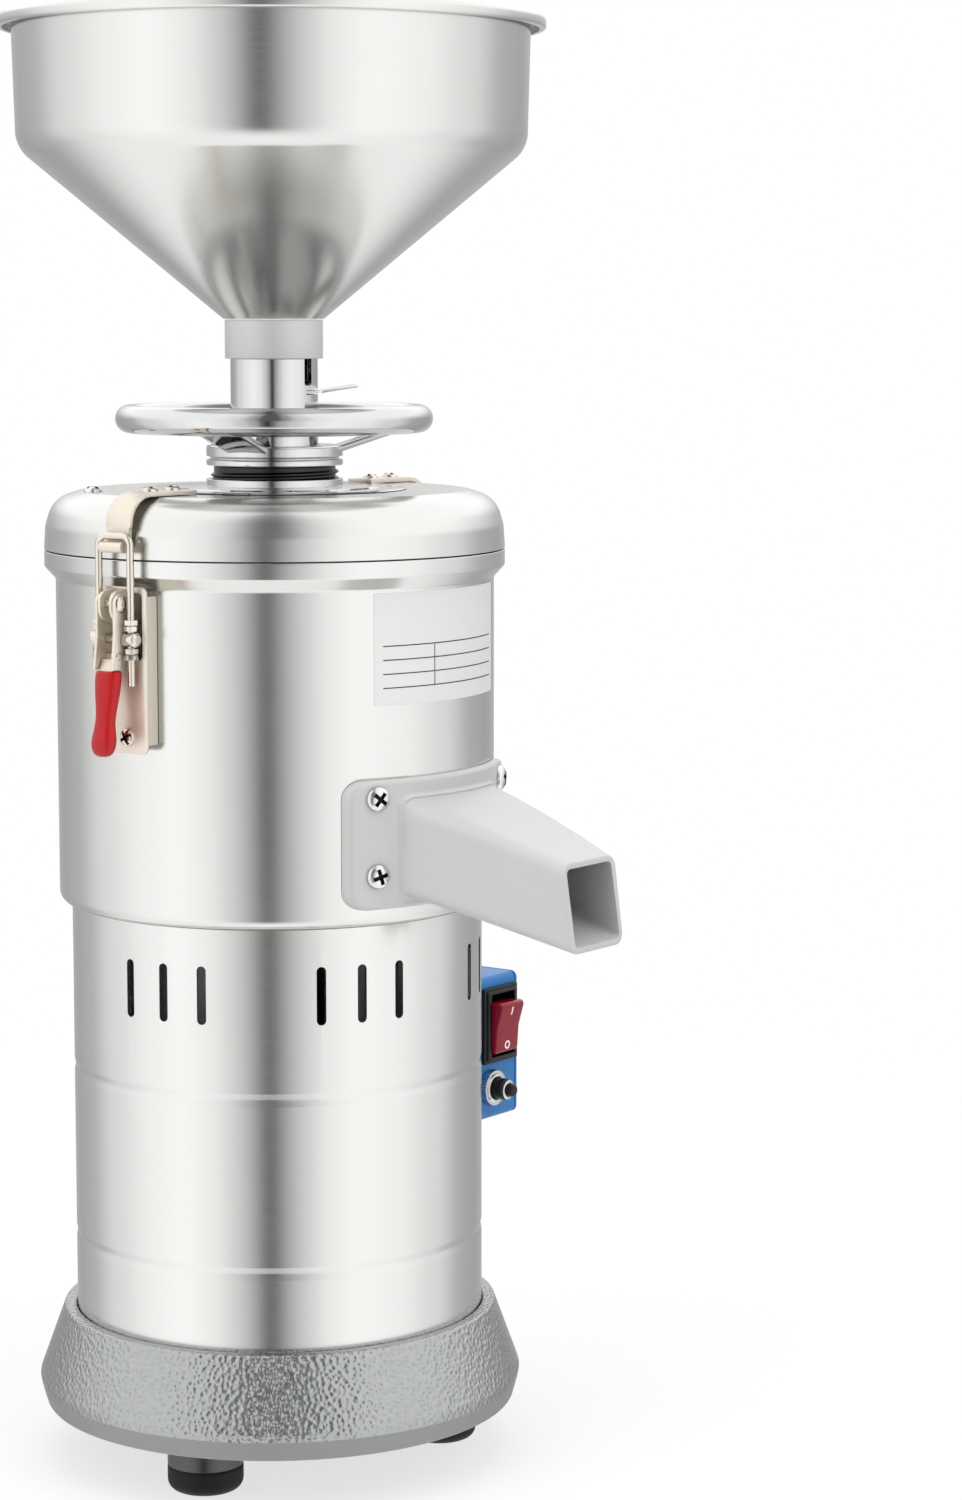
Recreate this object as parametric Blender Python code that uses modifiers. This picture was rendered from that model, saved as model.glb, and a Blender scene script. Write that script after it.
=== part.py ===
"""Peanut butter machine: a bench-top nut grinder with an upright motor, in metres, +Z up.

The origin is the centre of the bottom cover's underside, on the axis of the motor shaft. The
discharge spout points to -Y, the latch lever in view is at -X, and the control box is at +X.
Nuts fall from the hopper through the feed tube, between a turning lower disc and an adjustable
upper disc, and a sweeper pushes the paste out through the spout.
"""

import math

import bmesh
import bpy
from mathutils import Matrix, Vector

MM = 0.001
GAP = 0.3 * MM

# Facets in a full turn
LARGE = 32
MEDIUM = 20
SMALL = 16
TINY = 12
LEAST = 8

# Base, feet and bottom cover
BASE_R = 111.7 * MM
BASE_TOP_R = 99.8 * MM
BASE_H = 45 * MM
BASE_RIM_H = 9 * MM
BASE_WEB_Z = 32 * MM
BASE_SEAT_Z = 37.7 * MM
COVER_R = 105.7 * MM
COVER_T = 2 * MM
AIR_SLOT_COUNT = 8
FOOT_R = 17.1 * MM
FOOT_H = 25 * MM
FOOT_CIRCLE_R = 74.5 * MM
FOOT_BEARINGS = (-78, 42, 162)

# Motor shell and its vent slots
SHELL_R = 94 * MM
SHELL_T = 1.5 * MM
SHELL_Z = (38 * MM, 233.7 * MM)
SHELL_GROOVES_Z = (80 * MM, 158 * MM)
GROOVE_DEPTH = 0.7 * MM
VENT_W = 4.3 * MM
VENT_Z = (191 * MM, 217 * MM)
VENT_GROUPS = (-149.2, -83.2, -27.7, 27.7, 83.2, 149.2)
VENT_PITCH = 11.5

# Motor
SHAFT_R = 10 * MM
SHAFT_CORE_R = 12.5 * MM
SHAFT_Z = (41 * MM, 318 * MM)
SHAFT_CORE_Z = (62 * MM, 210 * MM)
SHAFT_THREAD_R = 6 * MM
SHAFT_THREAD_Z = 302.8 * MM
BEARING_R = 23.5 * MM
BEARING_H = 13.7 * MM
LOWER_BEARING_Z = 46 * MM
UPPER_BEARING_Z = 212.3 * MM
BRACKET_R = 91 * MM
STATOR_R = 65 * MM
STATOR_BORE_R = 38.8 * MM
STATOR_Z = (85 * MM, 165 * MM)
ROTOR_R = 38 * MM
ROTOR_Z = (87 * MM, 163 * MM)
WINDING_R = (45 * MM, 62 * MM)
WINDING_H = 17 * MM
FAN_R = 40 * MM
FAN_Z = (65 * MM, 80 * MM)
FAN_BLADES = 6

# Grinding housing
HOUSING_R = 99.6 * MM
HOUSING_BORE_R = 95.6 * MM
HOUSING_Z = (234 * MM, 394.2 * MM)
FLANGE_R = 104.6 * MM
FLANGE_Z = 387 * MM
FLOOR_Z = 239.3 * MM
SEAL_R = 16 * MM
PORT_HALF_W = 27 * MM
PORT_Z = (251 * MM, 287 * MM)

# Sweeper and grinding discs
SWEEPER_R = 88 * MM
SWEEPER_Z = (256 * MM, 292.7 * MM)
SWEEPER_BLADES = 3
DISC_R = 62 * MM
LOWER_DISC_Z = (293 * MM, 307 * MM)
UPPER_DISC_Z = (309 * MM, 325 * MM)
FEED_BORE_R = 20.6 * MM
FURROW_COUNT = 8
FURROW_SLANT = 24
FURROW_DEPTH = 3 * MM

# Lid
LID_TOP_Z = 421 * MM
LID_BOTTOM_Z = 394.8 * MM
LID_R = 104.6 * MM
LID_HOLE_R = 36.3 * MM
BOSS_R = 60 * MM
BOSS_BORE_R = 29.5 * MM

# Adjusting sleeve and handwheel
SLEEVE_R = 29 * MM
SLEEVE_Z = (325.3 * MM, 431.7 * MM)
SLEEVE_FLANGE_R = 44 * MM
WHEEL_R = 72 * MM
WHEEL_TUBE_R = 6.25 * MM
WHEEL_Z = 453 * MM
HUB_R = 31 * MM
HUB_Z = (432 * MM, 441 * MM)
SPOKE_W = 20 * MM
SPOKE_T = 3 * MM
SPOKE_BEARINGS = (-76, 44, 164)

# Feed tube, its gate, and the hopper
TUBE_R = 19.8 * MM
TUBE_T = 1.2 * MM
TUBE_Z = (400 * MM, 496 * MM)
BAYONET_W = 5 * MM
BAYONET_Z = 468 * MM
GATE_BEARING = 44
GATE_Z = 465 * MM
GATE_T = 1.2 * MM
GATE_HALF_W = 14 * MM
GATE_TAB_TILT = 9
HOPPER_R = 116 * MM
HOPPER_RIM_R = 123 * MM
HOPPER_TOP_Z = 632 * MM
HOPPER_T = 1.2 * MM
HOPPER_CORNER_Z = 573.2 * MM
COLLAR_R = 22.2 * MM
COLLAR_Z = (480 * MM, 498 * MM)

# Discharge spout
SPOUT_PLATE_R = (99.9 * MM, 103.6 * MM)
SPOUT_PLATE_HALF_W = 56.7 * MM
SPOUT_PLATE_Z = (242 * MM, 299 * MM)
SPOUT_WALL = 3 * MM
SPOUT_ROOT_Y = -90 * MM
SPOUT_ROOT_HALF_W = 30.5 * MM
SPOUT_ROOT_Z = (250.4 * MM, 291 * MM)
SPOUT_END_Y = (-178.5 * MM, -173.5 * MM)
SPOUT_END_HALF_W = 19 * MM
SPOUT_END_Z = (227 * MM, 265 * MM)
SPOUT_SCREW_ANGLE = 25.8
SPOUT_SCREW_Z = (257 * MM, 291 * MM)
SCREW_R = 3 * MM
SCREW_HEAD_R = 5.7 * MM
SCREW_HEAD_H = 3 * MM
SCREW_LENGTH = 9 * MM

# Control box
BOX_X = (90 * MM, 137.4 * MM)
BOX_Y = 36 * MM
BOX_Z = (112 * MM, 182 * MM)
BOX_WALL = 2.5 * MM
BOX_BACK_X = 97.5 * MM
BOX_COVER_T = 2.4 * MM
SWITCH_X = (110 * MM, 137 * MM)
SWITCH_Z = (140 * MM, 177 * MM)
SWITCH_FACE_Y = -39.5 * MM
SWITCH_DEPTH_Y = -16 * MM
ROCKER_PIVOT = Vector((123.5, -35, 158.5)) * MM
ROCKER_HALF_W = 9 * MM
ROCKER_TILT = 10
RESET_X = 117 * MM
RESET_Z = 128 * MM
CAPACITOR_R = 13 * MM
GLAND_X = 118 * MM
GLAND_Z = 130 * MM

# Toggle latches: distances out from the machine's axis, and heights
PLATE_OUT = 106 * MM
PLATE_T = 1.4 * MM
PLATE_HALF_W = 14.5 * MM
PLATE_Z = (310.5 * MM, 383 * MM)
PIVOT_OUT = 111.8 * MM
PIVOT_Z = 376 * MM
PIVOT_R = 2 * MM
TRUNNION_OUT = 109.5 * MM
TRUNNION_Z = 360.5 * MM
EAR_Y = (2.5 * MM, 4 * MM)
LEVER_Y = (4.3 * MM, 5.8 * MM)
BAIL_R = 1.75 * MM
BAIL_HALF_W = 9 * MM
BAIL_TOP_Z = 405 * MM
BAIL_END_Z = 340.5 * MM
STRAP_HALF_W = 12.5 * MM
STRAP_T = 2 * MM
STRAP_START = 62.5 * MM
STRAP_OUT = 105.2 * MM
TONGUE_HALF_W = 5.5 * MM
LEDGE_Z = 402.6 * MM
LEDGE_OUT = 113 * MM

# Finish: base colour, metallic, roughness
FINISHES = {
    "stainless": ((0.72, 0.72, 0.70), 1.0, 0.28),
    "polished_chrome": ((0.80, 0.80, 0.80), 1.0, 0.08),
    "hammer_paint": ((0.50, 0.51, 0.51), 0.4, 0.45),
    "cast_aluminium": ((0.72, 0.73, 0.73), 0.6, 0.42),
    "dark_steel": ((0.16, 0.16, 0.17), 1.0, 0.40),
    "tool_steel": ((0.42, 0.42, 0.42), 1.0, 0.35),
    "zinc_plate": ((0.78, 0.75, 0.68), 1.0, 0.25),
    "laminated_iron": ((0.22, 0.22, 0.24), 0.9, 0.55),
    "copper_wire": ((0.62, 0.28, 0.14), 0.9, 0.40),
    "black_rubber": ((0.02, 0.02, 0.02), 0.0, 0.60),
    "silicone": ((0.75, 0.74, 0.70), 0.0, 0.55),
    "blue_paint": ((0.03, 0.24, 0.56), 0.0, 0.40),
    "black_plastic": ((0.02, 0.02, 0.02), 0.0, 0.35),
    "red_rocker": ((0.30, 0.02, 0.02), 0.0, 0.20),
    "red_vinyl": ((0.55, 0.01, 0.02), 0.0, 0.30),
    "grey_plastic": ((0.45, 0.46, 0.47), 0.0, 0.45),
}
SHARP_EDGE = math.radians(32)


def clear_scene():
    for obj in list(bpy.data.objects):
        bpy.data.objects.remove(obj, do_unlink=True)


def collection(name):
    """The collection of that name, made and linked the first time it is asked for."""
    made = bpy.data.collections.get(name)
    if made is None:
        made = bpy.data.collections.new(name)
        bpy.context.scene.collection.children.link(made)
    return made


def material(name):
    made = bpy.data.materials.get(name)
    if made is None:
        colour, metallic, roughness = FINISHES[name]
        made = bpy.data.materials.new(name)
        made.use_nodes = True
        shader = made.node_tree.nodes["Principled BSDF"]
        shader.inputs["Base Color"].default_value = (*colour, 1)
        shader.inputs["Metallic"].default_value = metallic
        shader.inputs["Roughness"].default_value = roughness
        made.diffuse_color = (*colour, 1)
    return made


def add(name, data, finish):
    """A part, or a cutter where finish is None, as an object in its collection."""
    obj = bpy.data.objects.new(name, data)
    if finish is None:
        collection("cutters").objects.link(obj)
        obj.hide_render = True
        obj.display_type = "WIRE"
    else:
        collection("peanut_butter_machine").objects.link(obj)
        data.materials.append(material(finish))
    return obj


def mesh_of(name, bm):
    mesh = bpy.data.meshes.new(name)
    bm.to_mesh(mesh)
    bm.free()
    return mesh


def settle(obj, recalculate=False):
    """Turns an object with its modifiers into a plain mesh, welded, with smooth round faces."""
    bpy.context.view_layer.update()
    graph = bpy.context.evaluated_depsgraph_get()
    mesh = bpy.data.meshes.new_from_object(obj.evaluated_get(graph))
    bm = bmesh.new()
    bm.from_mesh(mesh)
    bmesh.ops.remove_doubles(bm, verts=bm.verts, dist=0.002 * MM)
    if recalculate:
        bmesh.ops.recalc_face_normals(bm, faces=bm.faces)
    bm.to_mesh(mesh)
    bm.free()
    mesh.shade_smooth()
    mesh.set_sharp_from_angle(angle=SHARP_EDGE)
    if obj.type == "MESH":
        obj.modifiers.clear()
        obj.data = mesh
        return obj
    solid = bpy.data.objects.new(obj.name, mesh)
    for home in obj.users_collection:
        home.objects.link(solid)
    solid.matrix_world = obj.matrix_world
    solid.hide_render = obj.hide_render
    solid.display_type = obj.display_type
    name = obj.name
    bpy.data.objects.remove(obj)
    solid.name = name
    return solid


def fillet(before, corner, after, radius, steps):
    """Points of an arc that rounds the corner between two straight lines."""
    back = (before - corner).normalized()
    ahead = (after - corner).normalized()
    half = back.angle(ahead) / 2
    centre = corner + (back + ahead).normalized() * radius / math.sin(half)
    first = corner + back * radius / math.tan(half) - centre
    last = corner + ahead * radius / math.tan(half) - centre
    start = math.atan2(first.y, first.x)
    sweep = math.atan2(last.y, last.x) - start
    sweep = (sweep + math.pi) % (2 * math.pi) - math.pi
    angles = [start + sweep * step / steps for step in range(steps + 1)]
    return [centre + Vector((math.cos(a), math.sin(a))) * radius for a in angles]


def outline(corners, closed=True, steps=3):
    """Points of an outline from its corners, each (x, y), (x, y, fillet radius) or with steps."""
    points = []
    last = len(corners) - 1
    for index, corner in enumerate(corners):
        here = Vector(corner[:2])
        at_end = not closed and index in (0, last)
        if len(corner) == 2 or at_end:
            points.append(here)
            continue
        before = Vector(corners[index - 1][:2])
        after = Vector(corners[(index + 1) % len(corners)][:2])
        own_steps = corner[3] if len(corner) > 3 else steps
        points += fillet(before, here, after, corner[2], own_steps)
    return points


def signed_area(points):
    pairs = zip(points, points[1:] + points[:1])
    return sum(a.x * b.y - b.x * a.y for a, b in pairs) / 2


def circle(x, y, radius, count, start=0):
    angles = [start + 2 * math.pi * index / count for index in range(count)]
    return [(x + radius * math.cos(a), y + radius * math.sin(a)) for a in angles]


def turned(name, corners, finish, sides=LARGE, steps=3, shell=None):
    """A solid of revolution about Z from corners (radius, height).

    A profile that starts and ends on the axis is open there, and any other is a closed ring,
    unless shell gives the wall that an open profile gets.
    """
    on_axis = corners[0][0] == 0 and corners[-1][0] == 0
    is_open = on_axis or shell is not None
    points = outline(corners, closed=not is_open, steps=steps)
    if signed_area(points) > 0 and shell is None:
        points.reverse()
    bm = bmesh.new()
    verts = [bm.verts.new((point.x, 0, point.y)) for point in points]
    for here, there in zip(verts, verts[1:]):
        bm.edges.new((here, there))
    if not is_open:
        bm.edges.new((verts[-1], verts[0]))
    obj = add(name, mesh_of(name, bm), finish)
    screw = obj.modifiers.new("turn", "SCREW")
    screw.angle = 2 * math.pi
    screw.steps = sides
    screw.render_steps = sides
    screw.use_merge_vertices = True
    screw.merge_threshold = 0.01 * MM
    if shell is not None:
        wall = obj.modifiers.new("wall", "SOLIDIFY")
        wall.thickness = shell
        wall.offset = 1
        wall.use_even_offset = True
    return settle(obj, recalculate=shell is not None)


def placed(obj, matrix):
    """Moves the mesh itself, so that the object's origin stays on the machine's axis."""
    obj.data.transform(matrix)
    return obj


def along_y(obj, x, y, z):
    """Lays a piece that was turned about Z along -Y, with its foot at the point."""
    return placed(obj, Matrix.Translation((x, y, z)) @ Matrix.Rotation(math.pi / 2, 4, "X"))


def block(name, low, high, finish, bevel=0, steps=2):
    """A box between two opposite corners."""
    low = Vector(low)
    high = Vector(high)
    bm = bmesh.new()
    bmesh.ops.create_cube(bm, size=1)
    bmesh.ops.scale(bm, vec=high - low, verts=bm.verts)
    bmesh.ops.translate(bm, vec=(low + high) / 2, verts=bm.verts)
    obj = add(name, mesh_of(name, bm), finish)
    if bevel:
        edges = obj.modifiers.new("edges", "BEVEL")
        edges.width = bevel
        edges.segments = steps
        edges.limit_method = "ANGLE"
    return settle(obj)


def plate(name, corners, low, high, finish, steps=3, upright=True):
    """A flat outline given a thickness: (x, z) from y low to high, or (x, y) from z low to high."""
    curve = bpy.data.curves.new(name, "CURVE")
    curve.dimensions = "2D"
    curve.fill_mode = "BOTH"
    curve.extrude = (high - low) / 2
    points = outline(corners, steps=steps)
    spline = curve.splines.new("POLY")
    spline.points.add(len(points) - 1)
    for target, point in zip(spline.points, points):
        target.co = (point.x, point.y, 0, 1)
    spline.use_cyclic_u = True
    obj = settle(add(name, curve, finish))
    middle = (low + high) / 2
    if upright:
        return placed(obj, Matrix.Translation((0, middle, 0)) @ Matrix.Rotation(math.pi / 2, 4, "X"))
    return placed(obj, Matrix.Translation((0, 0, middle)))


def rod(name, start, end, radius, finish, sides=TINY):
    start = Vector(start)
    axis = Vector(end) - start
    bm = bmesh.new()
    bmesh.ops.create_cone(
        bm, cap_ends=True, segments=sides, radius1=radius, radius2=radius, depth=axis.length
    )
    turn = axis.to_track_quat("Z", "Y").to_matrix().to_4x4()
    bmesh.ops.transform(bm, matrix=Matrix.Translation(start + axis / 2) @ turn, verts=bm.verts)
    return settle(add(name, mesh_of(name, bm), finish))


def wire(name, points, radius, finish):
    """A bent round wire through the points, with flat ends."""
    curve = bpy.data.curves.new(name, "CURVE")
    curve.dimensions = "3D"
    curve.bevel_depth = radius
    curve.bevel_resolution = 2
    curve.use_fill_caps = True
    spline = curve.splines.new("POLY")
    spline.points.add(len(points) - 1)
    for target, point in zip(spline.points, points):
        target.co = (*point, 1)
    return settle(add(name, curve, finish))


def boolean(obj, others, operation):
    for other in others:
        step = obj.modifiers.new(other.name, "BOOLEAN")
        step.operation = operation
        step.object = other
    return settle(obj)


def cut(obj, *cutters):
    """Takes the cutters away from the part, and leaves them as hidden guides."""
    return boolean(obj, cutters, "DIFFERENCE")


def unite(obj, *others):
    """Makes one body of shapes that overlap."""
    boolean(obj, others, "UNION")
    for other in others:
        bpy.data.objects.remove(other)
    return obj


def facing(angle):
    """The direction that lies this many degrees round from the spout, towards +X."""
    turn = math.radians(angle)
    return Vector((math.sin(turn), -math.cos(turn), 0))


def facing_turn(angle):
    """Turns a shape made out along +X to face that many degrees round from the spout."""
    return Matrix.Rotation(math.radians(angle - 90), 4, "Z")


def axis_empty(name, point):
    empty = bpy.data.objects.new(name, None)
    empty.empty_display_size = 10 * MM
    empty.location = point
    collection("peanut_butter_machine").objects.link(empty)
    return empty


def hang_on(empty, *objects):
    """Parents objects to a joint's empty without moving them."""
    bpy.context.view_layer.update()
    for obj in objects:
        obj.parent = empty
        obj.matrix_parent_inverse = empty.matrix_world.inverted()


def fan_of(name, count, low, high, finish, turn=0, tilt=0):
    """One object that holds count equal boxes, spread round Z and each turned about its own middle."""
    bm = bmesh.new()
    low = Vector(low)
    high = Vector(high)
    for index in range(count):
        made = bmesh.ops.create_cube(bm, size=1)["verts"]
        bmesh.ops.scale(bm, vec=high - low, verts=made)
        own = Matrix.Rotation(math.radians(tilt), 4, "Z")
        out = Matrix.Translation((low + high) / 2)
        spread = Matrix.Rotation(math.radians(turn + 360 * index / count), 4, "Z")
        bmesh.ops.transform(bm, matrix=spread @ out @ own, verts=made)
    return add(name, mesh_of(name, bm), finish)


def base():
    turned(
        "base_casting",
        [
            (BASE_TOP_R, BASE_H),
            (BASE_R, 15 * MM, 14 * MM),
            (BASE_R, BASE_RIM_H),
            (BASE_R - 2.4 * MM, 0.8 * MM),
            (BASE_R - 3.4 * MM, 0),
            (COVER_R + GAP, 0),
            (COVER_R + GAP, COVER_T + GAP),
            (99 * MM, COVER_T + GAP),
            (93 * MM, BASE_WEB_Z),
            (60 * MM, BASE_WEB_Z),
            (60 * MM, BASE_SEAT_Z),
            (SHELL_R + GAP, BASE_SEAT_Z),
            (SHELL_R + GAP, BASE_H),
        ],
        "hammer_paint",
        steps=2,
    )
    cover = turned(
        "bottom_cover",
        [(0, COVER_T), (COVER_R, COVER_T), (COVER_R, 0), (0, 0)],
        "dark_steel",
    )
    slot_low = (30 * MM, -2 * MM, -5 * MM)
    slot_high = (52 * MM, 2 * MM, 5 * MM)
    cut(cover, fan_of("air_slot_cutter", AIR_SLOT_COUNT, slot_low, slot_high, None))
    for number, angle in enumerate(FOOT_BEARINGS, 1):
        foot = turned(
            f"rubber_foot_{number}",
            [
                (0, -GAP),
                (FOOT_R - 1.5 * MM, -GAP),
                (FOOT_R, -2 * MM),
                (FOOT_R, -FOOT_H, 4.5 * MM),
                (0, -FOOT_H),
            ],
            "black_rubber",
            sides=SMALL,
            steps=1,
        )
        placed(foot, Matrix.Translation(facing(angle) * FOOT_CIRCLE_R))


def vent_cutters():
    """Upright slots with round ends, in groups of three round the shell."""
    slots = []
    half = VENT_W / 2
    corners = [
        (-half, VENT_Z[0], half * 0.7),
        (half, VENT_Z[0], half * 0.7),
        (half, VENT_Z[1], half * 0.7),
        (-half, VENT_Z[1], half * 0.7),
    ]
    for group in VENT_GROUPS:
        for step in (-1, 0, 1):
            angle = group + step * VENT_PITCH
            slot = plate("vent_cutter", corners, -SHELL_R - 5 * MM, -SHELL_R + 8 * MM, None, 1)
            slots.append(placed(slot, Matrix.Rotation(math.radians(angle), 4, "Z")))
    return slots


def motor_shell():
    grooves = []
    for height in reversed(SHELL_GROOVES_Z):
        grooves += [
            (SHELL_R, height + 2 * MM),
            (SHELL_R - GROOVE_DEPTH, height),
            (SHELL_R, height - 2 * MM),
        ]
    shell = turned(
        "motor_shell",
        [
            (SHELL_R, SHELL_Z[1]),
            *grooves,
            (SHELL_R, SHELL_Z[0]),
            (SHELL_R - SHELL_T, SHELL_Z[0]),
            (SHELL_R - SHELL_T, SHELL_Z[1]),
        ],
        "stainless",
    )
    wire_way = rod("wire_way_cutter", (80 * MM, 0, 150 * MM), (99 * MM, 0, 150 * MM), 7 * MM, None)
    cut(shell, *vent_cutters(), wire_way)


def end_brackets():
    """Cast brackets that hold the stator by its rim and carry the shaft bearings in their hubs."""
    ring = (STATOR_R + 0.4 * MM, STATOR_R + 5 * MM)
    seat_r = BEARING_R + GAP
    hub_r = 29 * MM
    plate_z = (SHELL_Z[0] + GAP, 44.5 * MM)
    lower_seat = LOWER_BEARING_Z - GAP
    lower = turned(
        "lower_end_bracket",
        [
            (ring[0], 95 * MM),
            (ring[1], 95 * MM),
            (ring[1], plate_z[1]),
            (BRACKET_R, plate_z[1]),
            (BRACKET_R, plate_z[0]),
            (14 * MM, plate_z[0]),
            (14 * MM, lower_seat),
            (seat_r, lower_seat),
            (seat_r, LOWER_BEARING_Z + BEARING_H),
            (hub_r, LOWER_BEARING_Z + BEARING_H),
            (hub_r, plate_z[1]),
            (ring[0], plate_z[1]),
        ],
        "cast_aluminium",
        sides=TINY,
    )
    window = ((36 * MM, -9 * MM, 30 * MM), (58 * MM, 9 * MM, 50 * MM))
    cut(lower, fan_of("lower_window_cutter", 4, *window, None, turn=45))
    top_z = SHELL_Z[1]
    upper_seat = UPPER_BEARING_Z + BEARING_H + GAP
    upper = turned(
        "upper_end_bracket",
        [
            (BRACKET_R, top_z),
            (BRACKET_R, 227 * MM),
            (ring[1], 227 * MM),
            (ring[1], 155 * MM),
            (ring[0], 155 * MM),
            (ring[0], 227 * MM),
            (hub_r, 227 * MM),
            (hub_r, UPPER_BEARING_Z),
            (seat_r, UPPER_BEARING_Z),
            (seat_r, upper_seat),
            (14 * MM, upper_seat),
            (14 * MM, top_z),
        ],
        "cast_aluminium",
        sides=TINY,
    )
    window = ((60 * MM, -14 * MM, 186 * MM), (75 * MM, 14 * MM, 218 * MM))
    cut(upper, fan_of("upper_window_cutter", 4, *window, None, turn=45))


def ring_part(name, inner, outer, low, high, finish, sides=SMALL, edge=0):
    """A plain ring, with rounded outer edges where edge is given."""
    round_to = (edge,) if edge else ()
    corners = [
        (outer, high, *round_to),
        (outer, low, *round_to),
        (inner, low),
        (inner, high),
    ]
    return turned(name, corners, finish, sides, steps=1)


def bearing(name, low):
    """A ball bearing with a sunk shield between its races."""
    inner = SHAFT_R + GAP
    high = low + BEARING_H
    sunk = 1.2 * MM
    races = (inner + 3 * MM, BEARING_R - 3 * MM)
    turned(
        name,
        [
            (BEARING_R, high),
            (BEARING_R, low),
            (inner, low),
            (inner, high),
            (races[0], high),
            (races[0], high - sunk),
            (races[1], high - sunk),
            (races[1], high),
        ],
        "tool_steel",
        sides=TINY,
    )


def motor():
    end_brackets()
    bearing("lower_bearing", LOWER_BEARING_Z)
    bearing("upper_bearing", UPPER_BEARING_Z)
    ring_part("stator_core", STATOR_BORE_R, STATOR_R, *STATOR_Z, "laminated_iron", TINY)
    low_ring = STATOR_Z[0] - GAP
    high_ring = STATOR_Z[1] + GAP
    inner, outer = WINDING_R
    round_edge = 5 * MM
    for name, low in (("lower_windings", low_ring - WINDING_H), ("upper_windings", high_ring)):
        ring_part(name, inner, outer, low, low + WINDING_H, "copper_wire", TINY, round_edge)
    ring_part("rotor_core", SHAFT_CORE_R + GAP, ROTOR_R, *ROTOR_Z, "laminated_iron", TINY)
    turned(
        "shaft",
        [
            (0, SHAFT_Z[1]),
            (SHAFT_THREAD_R, SHAFT_Z[1]),
            (SHAFT_THREAD_R, SHAFT_THREAD_Z),
            (SHAFT_R, SHAFT_THREAD_Z),
            (SHAFT_R, SHAFT_CORE_Z[1]),
            (SHAFT_CORE_R, SHAFT_CORE_Z[1]),
            (SHAFT_CORE_R, SHAFT_CORE_Z[0]),
            (SHAFT_R, SHAFT_CORE_Z[0]),
            (SHAFT_R, SHAFT_Z[0] + 1 * MM),
            (SHAFT_R - 1 * MM, SHAFT_Z[0]),
            (0, SHAFT_Z[0]),
        ],
        "tool_steel",
        sides=TINY,
    )
    cooling_fan()


def cooling_fan():
    low, high = FAN_Z
    bore = SHAFT_CORE_R + GAP
    fan = turned(
        "cooling_fan",
        [
            (18 * MM, high),
            (18 * MM, low + 2 * MM),
            (FAN_R, low + 2 * MM),
            (FAN_R, low),
            (bore, low),
            (bore, high),
        ],
        "black_plastic",
        sides=SMALL,
    )
    blade = ((16 * MM, -0.8 * MM, low + 1 * MM), (FAN_R - 1 * MM, 0.8 * MM, high - 1 * MM))
    unite(fan, fan_of("fan_blades", FAN_BLADES, *blade, "black_plastic", turn=4))


def housing():
    low, high = HOUSING_Z
    body = turned(
        "grinding_housing",
        [
            (FLANGE_R, high),
            (FLANGE_R, FLANGE_Z),
            (HOUSING_R, 381 * MM),
            (HOUSING_R, low, 5 * MM),
            (80 * MM, low),
            (80 * MM, low + 5 * MM),
            (HOUSING_BORE_R, low + 5 * MM),
            (HOUSING_BORE_R, high),
            (96.7 * MM, high),
            (96.7 * MM, high - 3 * MM),
            (100.6 * MM, high - 3 * MM),
            (100.6 * MM, high),
        ],
        "stainless",
        steps=1,
    )
    port = block(
        "spout_port_cutter",
        (-PORT_HALF_W, -110 * MM, PORT_Z[0]),
        (PORT_HALF_W, -85 * MM, PORT_Z[1]),
        None,
    )
    cut(body, port, *spout_screw_cutters("housing"))
    turned(
        "chamber_floor",
        [
            (SEAL_R + GAP, 254 * MM),
            (22 * MM, 254 * MM),
            (26 * MM, 250 * MM),
            (95 * MM, 245 * MM),
            (95 * MM, FLOOR_Z),
            (11.5 * MM, FLOOR_Z),
            (11.5 * MM, FLOOR_Z + 1.4 * MM),
            (SEAL_R + GAP, FLOOR_Z + 1.4 * MM),
        ],
        "stainless",
        sides=MEDIUM,
    )
    ring_part("shaft_seal", SHAFT_R + GAP, SEAL_R, FLOOR_Z + 1.7 * MM, 248 * MM, "black_rubber", SMALL)
    ring_part("lid_gasket", 97 * MM, 100.3 * MM, high - 2.7 * MM, high + 0.3 * MM, "silicone", LARGE)


def sweeper():
    """Hub with bent blades that push the paste round the floor to the spout."""
    low, high = SWEEPER_Z
    hub = ring_part("paste_sweeper", SHAFT_R + GAP, 19 * MM, low, high, "stainless", SMALL)
    blade = ((17 * MM, -2 * MM, low), (SWEEPER_R, 2 * MM, low + 30 * MM))
    blades = fan_of("sweeper_blades", SWEEPER_BLADES, *blade, "stainless", turn=10)
    unite(hub, blades)


def furrow_cutter(name, inner, outer, face_z, turn, slant, offset):
    """Slanted V-shaped furrows, as cubes that stand on an edge in the disc's face."""
    bm = bmesh.new()
    size = FURROW_DEPTH * math.sqrt(2)
    middle = (inner + outer) / 2
    for index in range(FURROW_COUNT):
        made = bmesh.ops.create_cube(bm, size=1)["verts"]
        bmesh.ops.scale(bm, vec=(outer - inner, size, size), verts=made)
        on_edge = Matrix.Rotation(math.pi / 4, 4, "X")
        slanted = Matrix.Rotation(math.radians(slant), 4, "Z")
        out = Matrix.Translation((middle, 0, face_z))
        spread = Matrix.Rotation(math.radians(turn + offset + 360 * index / FURROW_COUNT), 4, "Z")
        bmesh.ops.transform(bm, matrix=spread @ out @ slanted @ on_edge, verts=made)
    return add(name, mesh_of(name, bm), None)


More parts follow.
